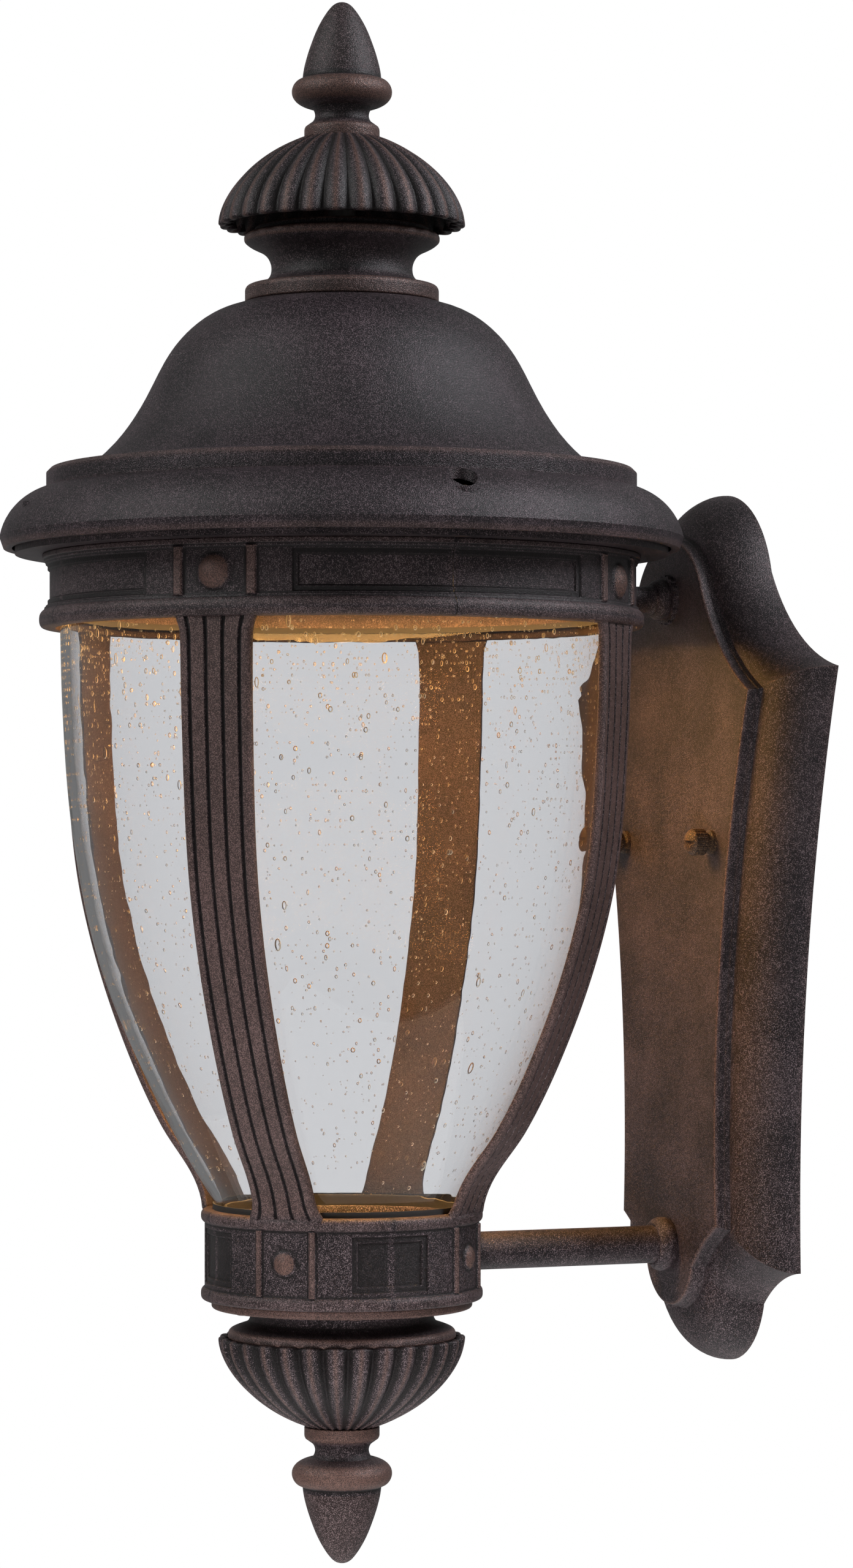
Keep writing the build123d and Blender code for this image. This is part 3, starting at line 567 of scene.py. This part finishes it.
put("fluted_cap_cast", gadroons(CAP_RIM, 1.0), "bronze", ["fluted_cap"], sharp=0, wear_and_painted_light=gadroon_wear_and_shade)
put("fluted_bowl_cast", gadroons(BOWL_RIM, -1.0), "bronze", ["fluted_bowl"], sharp=0, wear_and_painted_light=gadroon_wear_and_shade)

# Necks over the roof and under the cage, turned
neck = rounded(
    [(6, 217.0), (30.2, 217.0), (30.8, 216.4), (31.0, 214.6), (33.6, 214.4), (34.5, 213.6), (34.5, 211.8),
     (32.6, 210.2), (26.8, 207.6), (24.6, 203.2), (25.4, 198.6), (29.6, 196.5), (33.3, 196.2), (34.2, 195.0),
     (34.2, 190.5), (33.4, 190.0), (6, 190.0)],
    [0, 0.4, 0.4, 0.4, 0.4, 0.6, 0.7, 2.0, 4.5, 4.5, 3.0, 2.0, 1.0, 0.8, 0.4, 0.4, 0], 6)
put("roof_neck_turned", outwards(lathe(neck, 128)), "bronze", ["roof_neck"], wear_and_painted_light=turned_wear_and_shade)
foot_neck = rounded(
    [(6, -164.0), (33.4, -164.0), (32.6, -165.0), (32.2, -167.2), (33.4, -169.4), (37.4, -170.6),
     (40.0, -171.8), (40.3, -174.4), (39.4, -175.0), (6, -175.0)],
    [0, 0.4, 1.2, 1.6, 2.0, 2.0, 1.4, 0.6, 0.4, 0], 6)
put("bottom_neck_turned", outwards(lathe(foot_neck, 128)), "bronze", ["bottom_neck"], wear_and_painted_light=turned_wear_and_shade)

# Base disc, with low screw heads on its underside
BASE_TOP = -161.0
BASE_UNDERSIDE = -164.0
BASE_RADIUS = 46.0
SCREW_CIRCLE = 42.0
SCREWS_FROM_STRAP = 30.0


def screw_head(middle):
    """A low round head: rings of falling radius about a point, from inside the seat to the head's top."""
    profile = np.array([(2.6, 0.4), (2.6, -0.1), (2.3, -0.28), (1.6, -0.36), (0.2, -0.38)])
    turn = np.arange(20) * 2.0 * math.pi / 20
    x = middle[0] + profile[:, :1] * np.cos(turn)
    y = middle[1] + profile[:, :1] * np.sin(turn)
    z = np.broadcast_to(middle[2] + profile[:, 1:], x.shape)
    return outwards(capped(np.stack([x, y, z], axis=-1)))


screw_angles = [azimuth + side * SCREWS_FROM_STRAP for azimuth in QUARTERS.values() for side in (-1, 1)]
heads = [screw_head(place) for place in from_axis(SCREW_CIRCLE, np.array(screw_angles), BASE_UNDERSIDE)]
disc = rounded(
    [(6, BASE_TOP), (BASE_RADIUS - 0.4, BASE_TOP), (BASE_RADIUS, BASE_TOP - 0.4),
     (BASE_RADIUS, BASE_UNDERSIDE + 0.6), (BASE_RADIUS - 0.6, BASE_UNDERSIDE), (6, BASE_UNDERSIDE)], 0.4, 4)
base_shell = joined(outwards(lathe(disc, 128)), *heads)
put("base_disc_turned", base_shell, "bronze", ["base_disc", "base_screws"], wear_and_painted_light=turned_wear_and_shade)


# Cage castings: each quarter is a part of the upper band, a part of the lower band and a strap between them
SEAM_ANGLE = 45.0
QUARTER_HALF_ANGLE = 44.94
UPPER_FIELD = 104.2
LOWER_FIELD = 48.4
UPPER_BAND_FOOT = 75.0
LOWER_BAND_TOP = -129.0


def spread(low, high, count, marks, half, near):
    """Sample places from low to high, evenly, with more of them within half of each mark."""
    close = (np.array(marks, float)[:, None] + np.linspace(-half, half, near)[None, :]).ravel()
    every = np.concatenate([np.linspace(low, high, count), close])
    return np.unique(np.round(np.clip(every, low, high), 4))


def sunk_panel(from_seam, height, field, half_angle, bottom, top, border, sink):
    """Depth of a double-stepped panel: a rectangle about the seam, and a second inside its border."""
    across = np.radians(half_angle - from_seam) * field
    inside = np.minimum(np.minimum(height - bottom, top - height), across)
    return sink * (ease(-0.25, 0.25, inside) + ease(-0.25, 0.25, inside - border))


def band_relief(angle, height, field, rib_place, rib_width, boss_height, boss_radius, panel):
    """Height of a band's ornament over its field: two ribs and a boss by the strap, a panel at each seam."""
    out = np.radians(angle) * field
    rib = 1.3 * ease(-0.2, 0.9, rib_width / 2 - np.abs(np.abs(out) - rib_place))
    from_boss = (out**2 + (height - boss_height) ** 2) / boss_radius**2
    boss = 0.42 * boss_radius * np.maximum(1.0 - from_boss, 0.0) ** 0.9
    return rib + boss - sunk_panel(SEAM_ANGLE - np.abs(angle), height, field, **panel)


def band(azimuth, edge, back, relief, field_low, field_high, marks):
    """A quarter of a band: an outer edge and a back carried round the axis, with relief within its field."""
    angle = spread(-QUARTER_HALF_ANGLE, QUARTER_HALF_ANGLE, 150, marks, half=0.5, near=7)[:, None]
    over_low = ease(field_low - 0.3, field_low + 0.3, edge[:, 1])
    over_high = ease(field_high - 0.3, field_high + 0.3, edge[:, 1])
    radius = edge[:, 0] + relief(angle, edge[:, 1]) * over_low * (1.0 - over_high)
    radius = np.hstack([radius, np.repeat(back[None, :, 0], angle.size, axis=0)])
    height = np.concatenate([edge[:, 1], back[:, 1]])[None, :]
    return outwards(capped(from_axis(radius, azimuth + angle, height)))


def on_edge(outline, heights):
    """An outline of radius against rising height, read at these heights."""
    return np.stack([np.interp(heights, outline[:, 1], outline[:, 0]), heights], axis=1)


def upper_relief(angle, height):
    """The upper band's ribs, boss and panel."""
    panel = {"half_angle": 30.0, "bottom": 83.0, "top": 97.2, "border": 1.9, "sink": 0.7}
    return band_relief(
        angle, height, UPPER_FIELD, rib_place=13.4, rib_width=4.2, boss_height=89.8, boss_radius=6.2,
        panel=panel)


def lower_relief(angle, height):
    """The lower band's ribs, boss and panel."""
    panel = {"half_angle": 16.8, "bottom": -154.6, "top": -135.4, "border": 2.1, "sink": 0.75}
    return band_relief(
        angle, height, LOWER_FIELD, rib_place=10.0, rib_width=2.9, boss_height=-144.8, boss_radius=4.5,
        panel=panel)


upper_outline = rounded(
    [(103.6, 75.0), (105.6, 75.2), (106.5, 76.6), (106.5, 79.6), (105.5, 81.0), (104.7, 81.5), (104.7, 82.2),
     (UPPER_FIELD, 82.5), (UPPER_FIELD, 97.9), (104.7, 98.2), (104.7, 99.0), (105.4, 99.3), (105.4, 100.7),
     (105.0, 101.0)],
    [0, 0.8, 1.4, 1.4, 0.8, 0.2, 0.2, 0.2, 0.2, 0.2, 0.2, 0.2, 0.3, 0], 7)
upper_heights = spread(
    UPPER_BAND_FOOT, 101.0, 70, (75.4, 80.8, 83.0, 84.9, 95.3, 97.2, 99.1), half=0.4, near=6)
upper_edge = on_edge(upper_outline, upper_heights)
upper_back = rounded(
    [(105.0, 101.0), (100.5, 101.0), (100.4, 100.5), (100.4, 75.6), (100.6, 75.0), (103.6, 75.0)],
    0.4, 4)[1:-1]
upper_marks = (-16, -15, -8.5, -6.2, 6.2, 8.5, 15, 16)
lower_outline = rounded(
    [(47.6, -161.0), (48.8, -160.9), (49.7, -160.1), (49.7, -157.6), (49.0, -156.7), (LOWER_FIELD, -156.4),
     (LOWER_FIELD, -133.6), (49.0, -133.3), (49.7, -132.4), (49.7, -130.2), (48.8, -129.2), (47.6, -129.0)],
    [0, 0.6, 1.0, 1.0, 0.5, 0.2, 0.2, 0.5, 1.0, 1.0, 0.6, 0], 7)
lower_heights = spread(
    -161.0, LOWER_BAND_TOP, 76, (-160.4, -156.7, -154.6, -152.5, -137.5, -135.4, -133.4, -129.6),
    half=0.4, near=6)
lower_edge = on_edge(lower_outline, lower_heights)
lower_back = np.array([(40.2, -129.0), (40.0, -129.3), (40.0, -132.5), (44.0, -132.5), (44.0, -157.5),
                       (36.0, -157.5), (36.0, -161.0)])
lower_marks = (-30, -28.2, -13.6, -10.1, 10.1, 13.6, 28.2, 30)
strap_line = smooth_curve(
    [(104.6, 79), (103.7, 40), (97.6, -20), (82.6, -67), (65.9, -101), (52.2, -121), (48.0, -132)], 84)


def strap_section():
    """A strap's section, width by height over its face: rounded edges, and four grooves down the face."""
    groove = np.array([(-0.75, 0.0), (-0.5, -0.55), (-0.22, -0.85), (0.22, -0.85), (0.5, -0.55), (0.75, 0.0)])
    places = np.array([-9.3, -3.1, 3.1, 9.3])
    face = (groove[None] + np.stack([places, places * 0], axis=1)[:, None]).reshape(-1, 2)
    corners = [(-11.0, -2.8), (-13.25, -2.8), (-13.25, -1.3), (-12.2, 0.0), (-10.6, 0.0)]
    left = rounded(corners, [0, 0.5, 0.9, 1.2, 0], 6)
    return np.vstack([left, face, left[::-1] * (-1, 1)])


def strap(azimuth):
    """The strap's section carried down its line, narrowing from 26.5 to 23 and flaring where it meets a band.

    The flare falls off with the distance from the band, as a power of e.
    """
    section = strap_section()
    outward = outer_normals(strap_line)
    way = np.linspace(0.0, 1.0, len(strap_line))
    from_band = np.minimum(UPPER_BAND_FOOT - strap_line[:, 1], strap_line[:, 1] - LOWER_BAND_TOP)
    wide = 1.0 - 0.132 * way + 0.16 * np.exp(-np.maximum(from_band, 0.0) / 2.2)
    radius = strap_line[:, None, 0] + section[None, :, 1] * outward[:, None, 0]
    height = strap_line[:, None, 1] + section[None, :, 1] * outward[:, None, 1]
    side = section[None, :, 0] * wide[:, None]
    turn = math.radians(azimuth)
    x = radius * math.cos(turn) - side * math.sin(turn)
    y = AXIS_Y + radius * math.sin(turn) + side * math.cos(turn)
    return outwards(capped(np.stack([x, y, height], axis=-1)))


def cage_wear_and_painted_light(points, bends, normals, azimuth):
    """Rub and painted light of a quarter: rub on raised ribs and bosses, painted shade in the panels, a little
    rub down the strap's face.

    Elsewhere it is the bends, with their rub held back and painted shade in folds. Beside the seams it fades
    out, and the inner faces are painted lighter, as if lit by the lamp inside, less so low in the lower band.
    """
    radius = axis_distance(points)
    angle = (axis_angle(points) - azimuth + 180.0) % 360.0 - 180.0
    z = points[:, 2]
    in_upper_field = (z > 82.2) * (z < 98.3)
    in_lower_field = (z < -133.6) * (z > -156.4)
    raised = np.maximum(ease(0.3, 0.9, radius - UPPER_FIELD) * in_upper_field,
                        ease(0.3, 0.9, radius - LOWER_FIELD) * in_lower_field)
    rub = np.where(np.abs(angle) < 5.8, 0.6, 0.4) * raised
    # Painted shade: the sunk panels of both bands are darkened.
    upper_panel_shade = 0.6 * ease(-0.35, 0.5, UPPER_FIELD - radius) * (z > 80.0) * (z < 98.0) * (radius > 103.0)
    lower_panel_shade = 0.5 * ease(-0.35, 0.5, LOWER_FIELD - radius) * in_lower_field * (radius > 46.5)
    on_strap = np.where((z < 74.0) & (z > -128.0), 0.14, 0.0) * (bends > -0.1)
    from_seam = np.radians(SEAM_ANGLE - np.abs(angle)) * radius
    outside = np.where(rub > 0.05, rub, np.minimum(bends, 0.22)) + on_strap
    outside -= np.maximum(upper_panel_shade, lower_panel_shade)
    # Painted light: inner faces made lighter as if lit by the lamp inside, less so below -125 mm.
    inside = np.where(z < -125.0, 0.15, 0.32)
    outward = (normals[:, 0] * points[:, 0] + normals[:, 1] * (points[:, 1] - AXIS_Y)) / radius
    return np.where(outward < -0.3, inside, outside * ease(0.3, 1.5, from_seam))


for side_name, azimuth in QUARTERS.items():
    shell = joined(
        band(azimuth, upper_edge, upper_back, upper_relief, 82.2, 98.4, upper_marks),
        band(azimuth, lower_edge, lower_back, lower_relief, -156.5, -133.5, lower_marks),
        strap(azimuth),
    )
    put(f"cage_{side_name}_cast", shell, "bronze", [f"cage_{side_name}"],
        wear_and_painted_light=lambda points, bends, normals, azimuth=azimuth: cage_wear_and_painted_light(points, bends, normals, azimuth))

# Wall plate: half outlines in X and Z at the field's edge and at the wall, as the points of five arcs
ARC_STEPS = (22, 22, 40, 16, 18)
SHOULDER_COLUMN = 43.4
FIELD_HEIGHT = 24.0
SKIRT_HEIGHT = 18.6
HOLLOW_HEIGHT = 16.0
FIELD_EDGE = np.array([(0, 110), (17, 104), (27, 91), (42, 70), (65, 53.6), (43, -40), (39.3, -137),
                       (29, -143.5), (19, -153), (12.1, -163.8), (0, -168)], float)
WALL_EDGE = np.array([(0, 126.7), (23.5, 117), (36, 97), (55.5, 75.5), (88, 61.4), (64.5, -43), (59, -152.6),
                      (44, -156.5), (30, -166), (18.9, -182.6), (0, -189)], float)


def arc(start, middle, end, steps):
    """Points on the circle through three points, closer near its ends, without the last of the three."""
    (ax, ay), (bx, by), (cx, cy) = start, middle, end
    four_areas = 2.0 * (ax * (by - cy) + bx * (cy - ay) + cx * (ay - by))
    a2, b2, c2 = ax * ax + ay * ay, bx * bx + by * by, cx * cx + cy * cy
    centre = np.array([a2 * (by - cy) + b2 * (cy - ay) + c2 * (ay - by),
                       a2 * (cx - bx) + b2 * (ax - cx) + c2 * (bx - ax)]) / four_areas
    spokes = np.stack([start, middle, end]) - centre
    sweep = np.unwrap(np.arctan2(spokes[:, 1], spokes[:, 0]))
    part = 0.5 - 0.5 * np.cos(math.pi * np.linspace(0.0, 1.0, steps, endpoint=False))
    turn = sweep[0] + (sweep[2] - sweep[0]) * part
    return centre + np.linalg.norm(spokes[0]) * np.stack([np.cos(turn), np.sin(turn)], axis=1)


def plate_outline(share):
    """The plate's outline in X and Z: five arcs a side, at a share of the way from the field to the wall."""
    spots = FIELD_EDGE + share * (WALL_EDGE - FIELD_EDGE)
    arcs = [arc(*spots[2 * i:2 * i + 3], steps) for i, steps in enumerate(ARC_STEPS)]
    half = np.vstack([*arcs, spots[-1:]])
    return np.vstack([half, half[-2:0:-1] * (-1, 1)])


def plate():
    """Outlines stacked from the flat field over a riser and a convex skirt to the wall, and up the hollow.

    A row is a height in front of the wall and a share of the way from the field's edge to the wall's.
    """
    fall = np.sin(np.linspace(0.0, math.pi / 2, 17))
    rise = fall[::-2]
    field = [(FIELD_HEIGHT, -0.16), (FIELD_HEIGHT, -0.05), (23.92, -0.022), (23.7, -0.004), (23.3, 0.006)]
    riser = [(22.2, 0.012), (20.9, 0.018), (20.5, 0.026), (20.2, 0.05), (19.0, 0.06)]
    skirt = np.stack([SKIRT_HEIGHT * np.sqrt(1.0 - fall**2), 0.07 + 0.93 * fall], axis=1)
    foot = [(0.0, 0.94), (0.0, 0.86)]
    hollow = np.stack([HOLLOW_HEIGHT * np.sqrt(1.0 - rise**2), 0.85 * rise - 0.10 * (1 - rise)], axis=1)
    ceiling = [(19.6, -0.13), (20.0, -0.16), (20.0, -0.2)]
    rows = np.vstack([field, riser, skirt, foot, hollow, ceiling])
    rings = np.array([plate_outline(share) for share in rows[:, 1]])
    out = np.broadcast_to(-rows[:, :1], rings.shape[:2])
    return outwards(capped(np.stack([rings[..., 0], out, rings[..., 1]], axis=-1)))


def plate_wear_and_shade(points, bends, normals):
    """Bends, with the rub held back and painted shade in folds; none on the flat field; rub down the
    shoulder's ridge.

    The ridge is the outline's corner between its second and third arc, over the skirt.
    """
    columns = len(plate_outline(0.0))
    values = turned_wear_and_shade(points, bends, normals)
    values[:2 * columns] = 0.0
    column = np.arange(len(points)) % columns
    from_ridge = np.minimum(np.abs(column - SHOULDER_COLUMN), np.abs(columns - SHOULDER_COLUMN - column))
    on_skirt = ease(-18.9, -18.0, points[:, 1]) * ease(1.0, 2.0, -points[:, 1])
    return np.maximum(values, 0.45 * np.exp(-((from_ridge / 0.9) ** 2)) * on_skirt)


put("wall_plate_cast", plate(), "bronze", ["wall_plate"], sharp=30.0, wear_and_painted_light=plate_wear_and_shade)


# Upper arm: a tube that flares where it meets its collar
UPPER_ARM_Z = 88.0


def along_arm(profile, columns):
    """A profile of radius against distance in front of the wall, turned round the upper arm's own axis."""
    turn = np.arange(columns) * 2.0 * math.pi / columns
    x = profile[:, :1] * np.cos(turn)
    z = UPPER_ARM_Z + profile[:, :1] * np.sin(turn)
    return outwards(capped(np.stack([x, np.broadcast_to(-profile[:, 1:], x.shape), z], axis=-1)))


def no_wear(points, bends, normals):
    """An even coat."""
    return 0.0 * bends


arm_line = smooth_curve([(4.95, 59.0), (4.9, 48.0), (4.7, 40.0), (4.75, 35.0), (5.2, 31.2), (6.2, 29.4)], 30)
arm_shell = along_arm(np.vstack([arm_line, [(5.0, 29.2), (5.0, 15.0)]]), 48)
put("upper_arm_tube", arm_shell, "bronze", ["upper_arm"], wear_and_painted_light=no_wear)


# Glass urn with its bubbles and seeds
URN_TOP = 78.0
URN_FOOT = -127.0
GLASS_WALL = 3.2
urn_outside = smooth_curve(
    [(99.2, URN_TOP), (98.4, 48), (94.4, 0), (85.6, -42), (68.6, -84), (54, -112), (45, URN_FOOT)], 96)
urn_normal = outer_normals(urn_outside)
urn_inside = urn_outside - GLASS_WALL * urn_normal
urn_inside[0, 1] = URN_TOP
urn_inside[-1] = (41.6, URN_FOOT)
urn_loop = np.vstack([urn_outside, urn_inside[::-1]])


def closed_lathe(loop, columns):
    """A closed profile turned round the axis into a ring with no ends."""
    angle = np.arange(columns) * 360.0 / columns
    grid = from_axis(loop[:, :1], angle[None, :], loop[:, 1:])
    return grid.reshape(-1, 3), [cells(len(loop), columns, close_rows=True)]


def unit_ball(columns, rings):
    """Points, four-sided faces and triangles of a ball of radius 1: rings, and a fan at each pole."""
    u = np.linspace(0.0, math.pi, rings + 2)[1:-1]
    v = np.arange(columns) * 2.0 * math.pi / columns
    x, y = np.outer(np.sin(u), np.cos(v)), np.outer(np.sin(u), np.sin(v))
    z = np.broadcast_to(np.cos(u)[:, None], x.shape)
    points = np.vstack([np.stack([x, y, z], axis=-1).reshape(-1, 3), [(0, 0, 1), (0, 0, -1)]])
    column = np.arange(columns)
    beside = (column + 1) % columns
    last = (rings - 1) * columns
    tops = np.stack([np.full(columns, rings * columns), beside, column], axis=1)
    bottoms = np.stack([np.full(columns, rings * columns + 1), last + column, last + beside], axis=1)
    return points, cells(rings, columns), np.vstack([tops, bottoms])


def bubbles(count, seed, columns, rings, long, slim, thick):
    """Egg-shaped air bubbles inside the glass wall, drawn out down the wall, and more of them near its top.

    Each is a unit ball scaled along the wall's own three directions at a random place on the urn.
    """
    dice = np.random.default_rng(seed)
    radius, height = urn_outside[1:-4].T
    share = radius * (1.0 + 0.9 * ease(-40.0, 60.0, height) + 1.6 * ease(50.0, 70.0, height))
    station = dice.choice(len(share), count, p=share / share.sum()) + 1
    turn = dice.uniform(0.0, 2.0 * math.pi, count)
    size = dice.uniform(0.0, 1.0, count) ** 2.2
    length = long[0] + (long[1] - long[0]) * size
    width = length * dice.uniform(*slim, count)
    depth = np.minimum(width, thick)
    normal = urn_normal[station]
    room = np.maximum(1.35 - depth, 0.0)
    sunk = GLASS_WALL / 2 + dice.uniform(-1.0, 1.0, count) * room
    middle = urn_outside[station] - normal * sunk[:, None]
    around = np.stack([-np.sin(turn), np.cos(turn), 0 * turn], axis=1)
    out = np.stack([np.cos(turn) * normal[:, 0], np.sin(turn) * normal[:, 0], normal[:, 1]], axis=1)
    axes = np.stack([around, out, np.cross(around, out)], axis=1)
    place = from_axis(middle[:, 0], np.degrees(turn), middle[:, 1])
    ball, quads, fans = unit_ball(columns, rings)
    sizes = np.stack([width, depth, length], axis=1)
    points = place[:, None] + np.einsum("pk,nk,nkx->npx", ball, sizes, axes)
    step = (np.arange(count) * len(ball))[:, None, None]
    return outwards((points.reshape(-1, 3), [(quads + step).reshape(-1, 4), (fans + step).reshape(-1, 3)]))


put("urn_glass", outwards(closed_lathe(urn_loop, 160)), "seeded_glass", ["glass_urn"], sharp=50.0)
large_bubbles = bubbles(90, seed=11, columns=14, rings=8, long=(0.9, 2.3), slim=(0.36, 0.55), thick=1.2)
small_bubbles = bubbles(1300, seed=12, columns=8, rings=5, long=(0.5, 1.1), slim=(0.5, 0.8), thick=0.8)
seeds = bubbles(4200, seed=14, columns=6, rings=3, long=(0.22, 0.5), slim=(0.6, 1.0), thick=0.4)
for name, shell in (("urn_bubbles", joined(large_bubbles, small_bubbles)), ("urn_seeds", seeds)):
    put(name, shell, "seeded_glass", sharp=0).data.materials[0] = seed_finish

# Stage: a pale floor far below, a white surround, soft lamps, and the photograph's camera
FLOOR_Z = -1.3
FLOOR_HALF = 1.3
FLOOR_Y = -0.15
corner_ways = ((-1, -1), (1, -1), (1, 1), (-1, 1))
floor_corners = [(x * FLOOR_HALF, FLOOR_Y + y * FLOOR_HALF, FLOOR_Z) for x, y in corner_ways]
floor_mesh = bpy.data.meshes.new("floor")
floor_mesh.from_pydata(floor_corners, [], [(0, 1, 2, 3)])
floor = bpy.data.objects.new("floor", floor_mesh)
bpy.context.scene.collection.objects.link(floor)


def pale_floor():
    """Pale cement that shows the lantern's shadow and, to the camera, fades to white away from it."""
    coat = Finish(bpy.data.materials.new("pale_floor"))
    cement = coat.node("ShaderNodeBsdfDiffuse", None, {"Color": rgb(236, 236, 236)})
    lit = coat.node("ShaderNodeEmission", None, {"Color": WHITE, "Strength": 1.0})
    sockets = {0: coat.place(), 1: (0.0, FLOOR_Y, FLOOR_Z)}
    away = coat.node("ShaderNodeVectorMath", {"operation": "DISTANCE"}, sockets, out="Value")
    share = coat.ray("Is Camera Ray") * (0.8 + away.ramp(0.4, 1.2) * 0.2)
    return coat.surface(coat.blend(share, cement, lit))


floor_mesh.materials.append(pale_floor())


def studio():
    """A surround that is white to the camera and through clear glass, and dim to mirrors and for light."""
    sky = Finish(bpy.data.worlds.new("studio"))
    mirrored = sky.ray("Glossy Depth").at_most(1.0)
    through = sky.ray("Is Transmission Ray") * (1.0 - mirrored * 0.88)
    seen = sky.ray("Is Camera Ray").at_least(through).at_least(sky.ray("Is Glossy Ray") * 0.13)
    dim = sky.node("ShaderNodeBackground", None, {"Color": WHITE, "Strength": 0.075})
    white = sky.node("ShaderNodeBackground", None, {"Color": WHITE, "Strength": 1.0})
    return sky.surface(sky.blend(seen, dim, white), "ShaderNodeOutputWorld")


bpy.context.scene.world = studio()


def lamp(name, place, aim, size, power, colour=(1.0, 1.0, 1.0)):
    """A square soft lamp in metres and watts, turned to look at a point."""
    light = bpy.data.lights.new(name, "AREA")
    light.size = size
    light.energy = power
    light.color = colour
    holder = bpy.data.objects.new(name, light)
    bpy.context.scene.collection.objects.link(holder)
    holder.location = place
    way = np.array(aim) - np.array(place)
    tilt = math.acos(-way[2] / np.linalg.norm(way))
    holder.rotation_euler = (tilt, 0.0, math.atan2(way[0], -way[1]) + math.pi)
    holder.visible_camera = False
    holder.visible_transmission = False
    return holder


axis_y = AXIS_Y * METRES
lamp("right_lamp", (1.1, 1.45, 1.5), (0.0, -0.12, 0.05), size=0.8, power=56.0, colour=(0.95, 0.95, 1.0))
lamp("left_lamp", (0.05, -1.9, 1.4), (0.0, -0.15, 0.0), size=0.8, power=26.0)
back_lamp = lamp("back_lamp", (-1.7, -0.5, 0.6), (0.0, -0.1, 0.0), size=0.5, power=30.0)
fill_lamp = lamp("fill_lamp", (-1.3, 1.2, 0.9), (0.0, -0.1, 0.0), size=0.8, power=16.0)
low_lamp = lamp("low_lamp", (0.75, -0.6, -0.54), (0.0, -0.15, -0.23), size=0.4, power=1.3)
low_lamp.data.spread = math.radians(50.0)
for hidden_lamp in (back_lamp, fill_lamp, low_lamp):
    hidden_lamp.visible_glossy = False
lamp("led_lamp", (0.0, axis_y, 0.0885), (0.0, axis_y, -0.2), size=0.09, power=4.6, colour=(1.0, 0.52, 0.15))

CAMERA_ROUND = math.radians(69.0)
CAMERA_ASIDE = math.radians(1.087)
CAMERA_DISTANCE = 1.5727
camera = bpy.data.cameras.new("photo_camera")
camera.lens = 102.26
camera.sensor_width = 36.0
camera.shift_y = 0.0371
camera.clip_end = 50.0
viewpoint = bpy.data.objects.new("photo_camera", camera)
bpy.context.scene.collection.objects.link(viewpoint)
camera_y = axis_y - CAMERA_DISTANCE * math.cos(CAMERA_ROUND)
viewpoint.location = (CAMERA_DISTANCE * math.sin(CAMERA_ROUND), camera_y, 0.0)
viewpoint.rotation_euler = (math.pi / 2, 0.0, CAMERA_ROUND - CAMERA_ASIDE)
bpy.context.scene.camera = viewpoint
bpy.context.scene.view_settings.view_transform = "Standard"
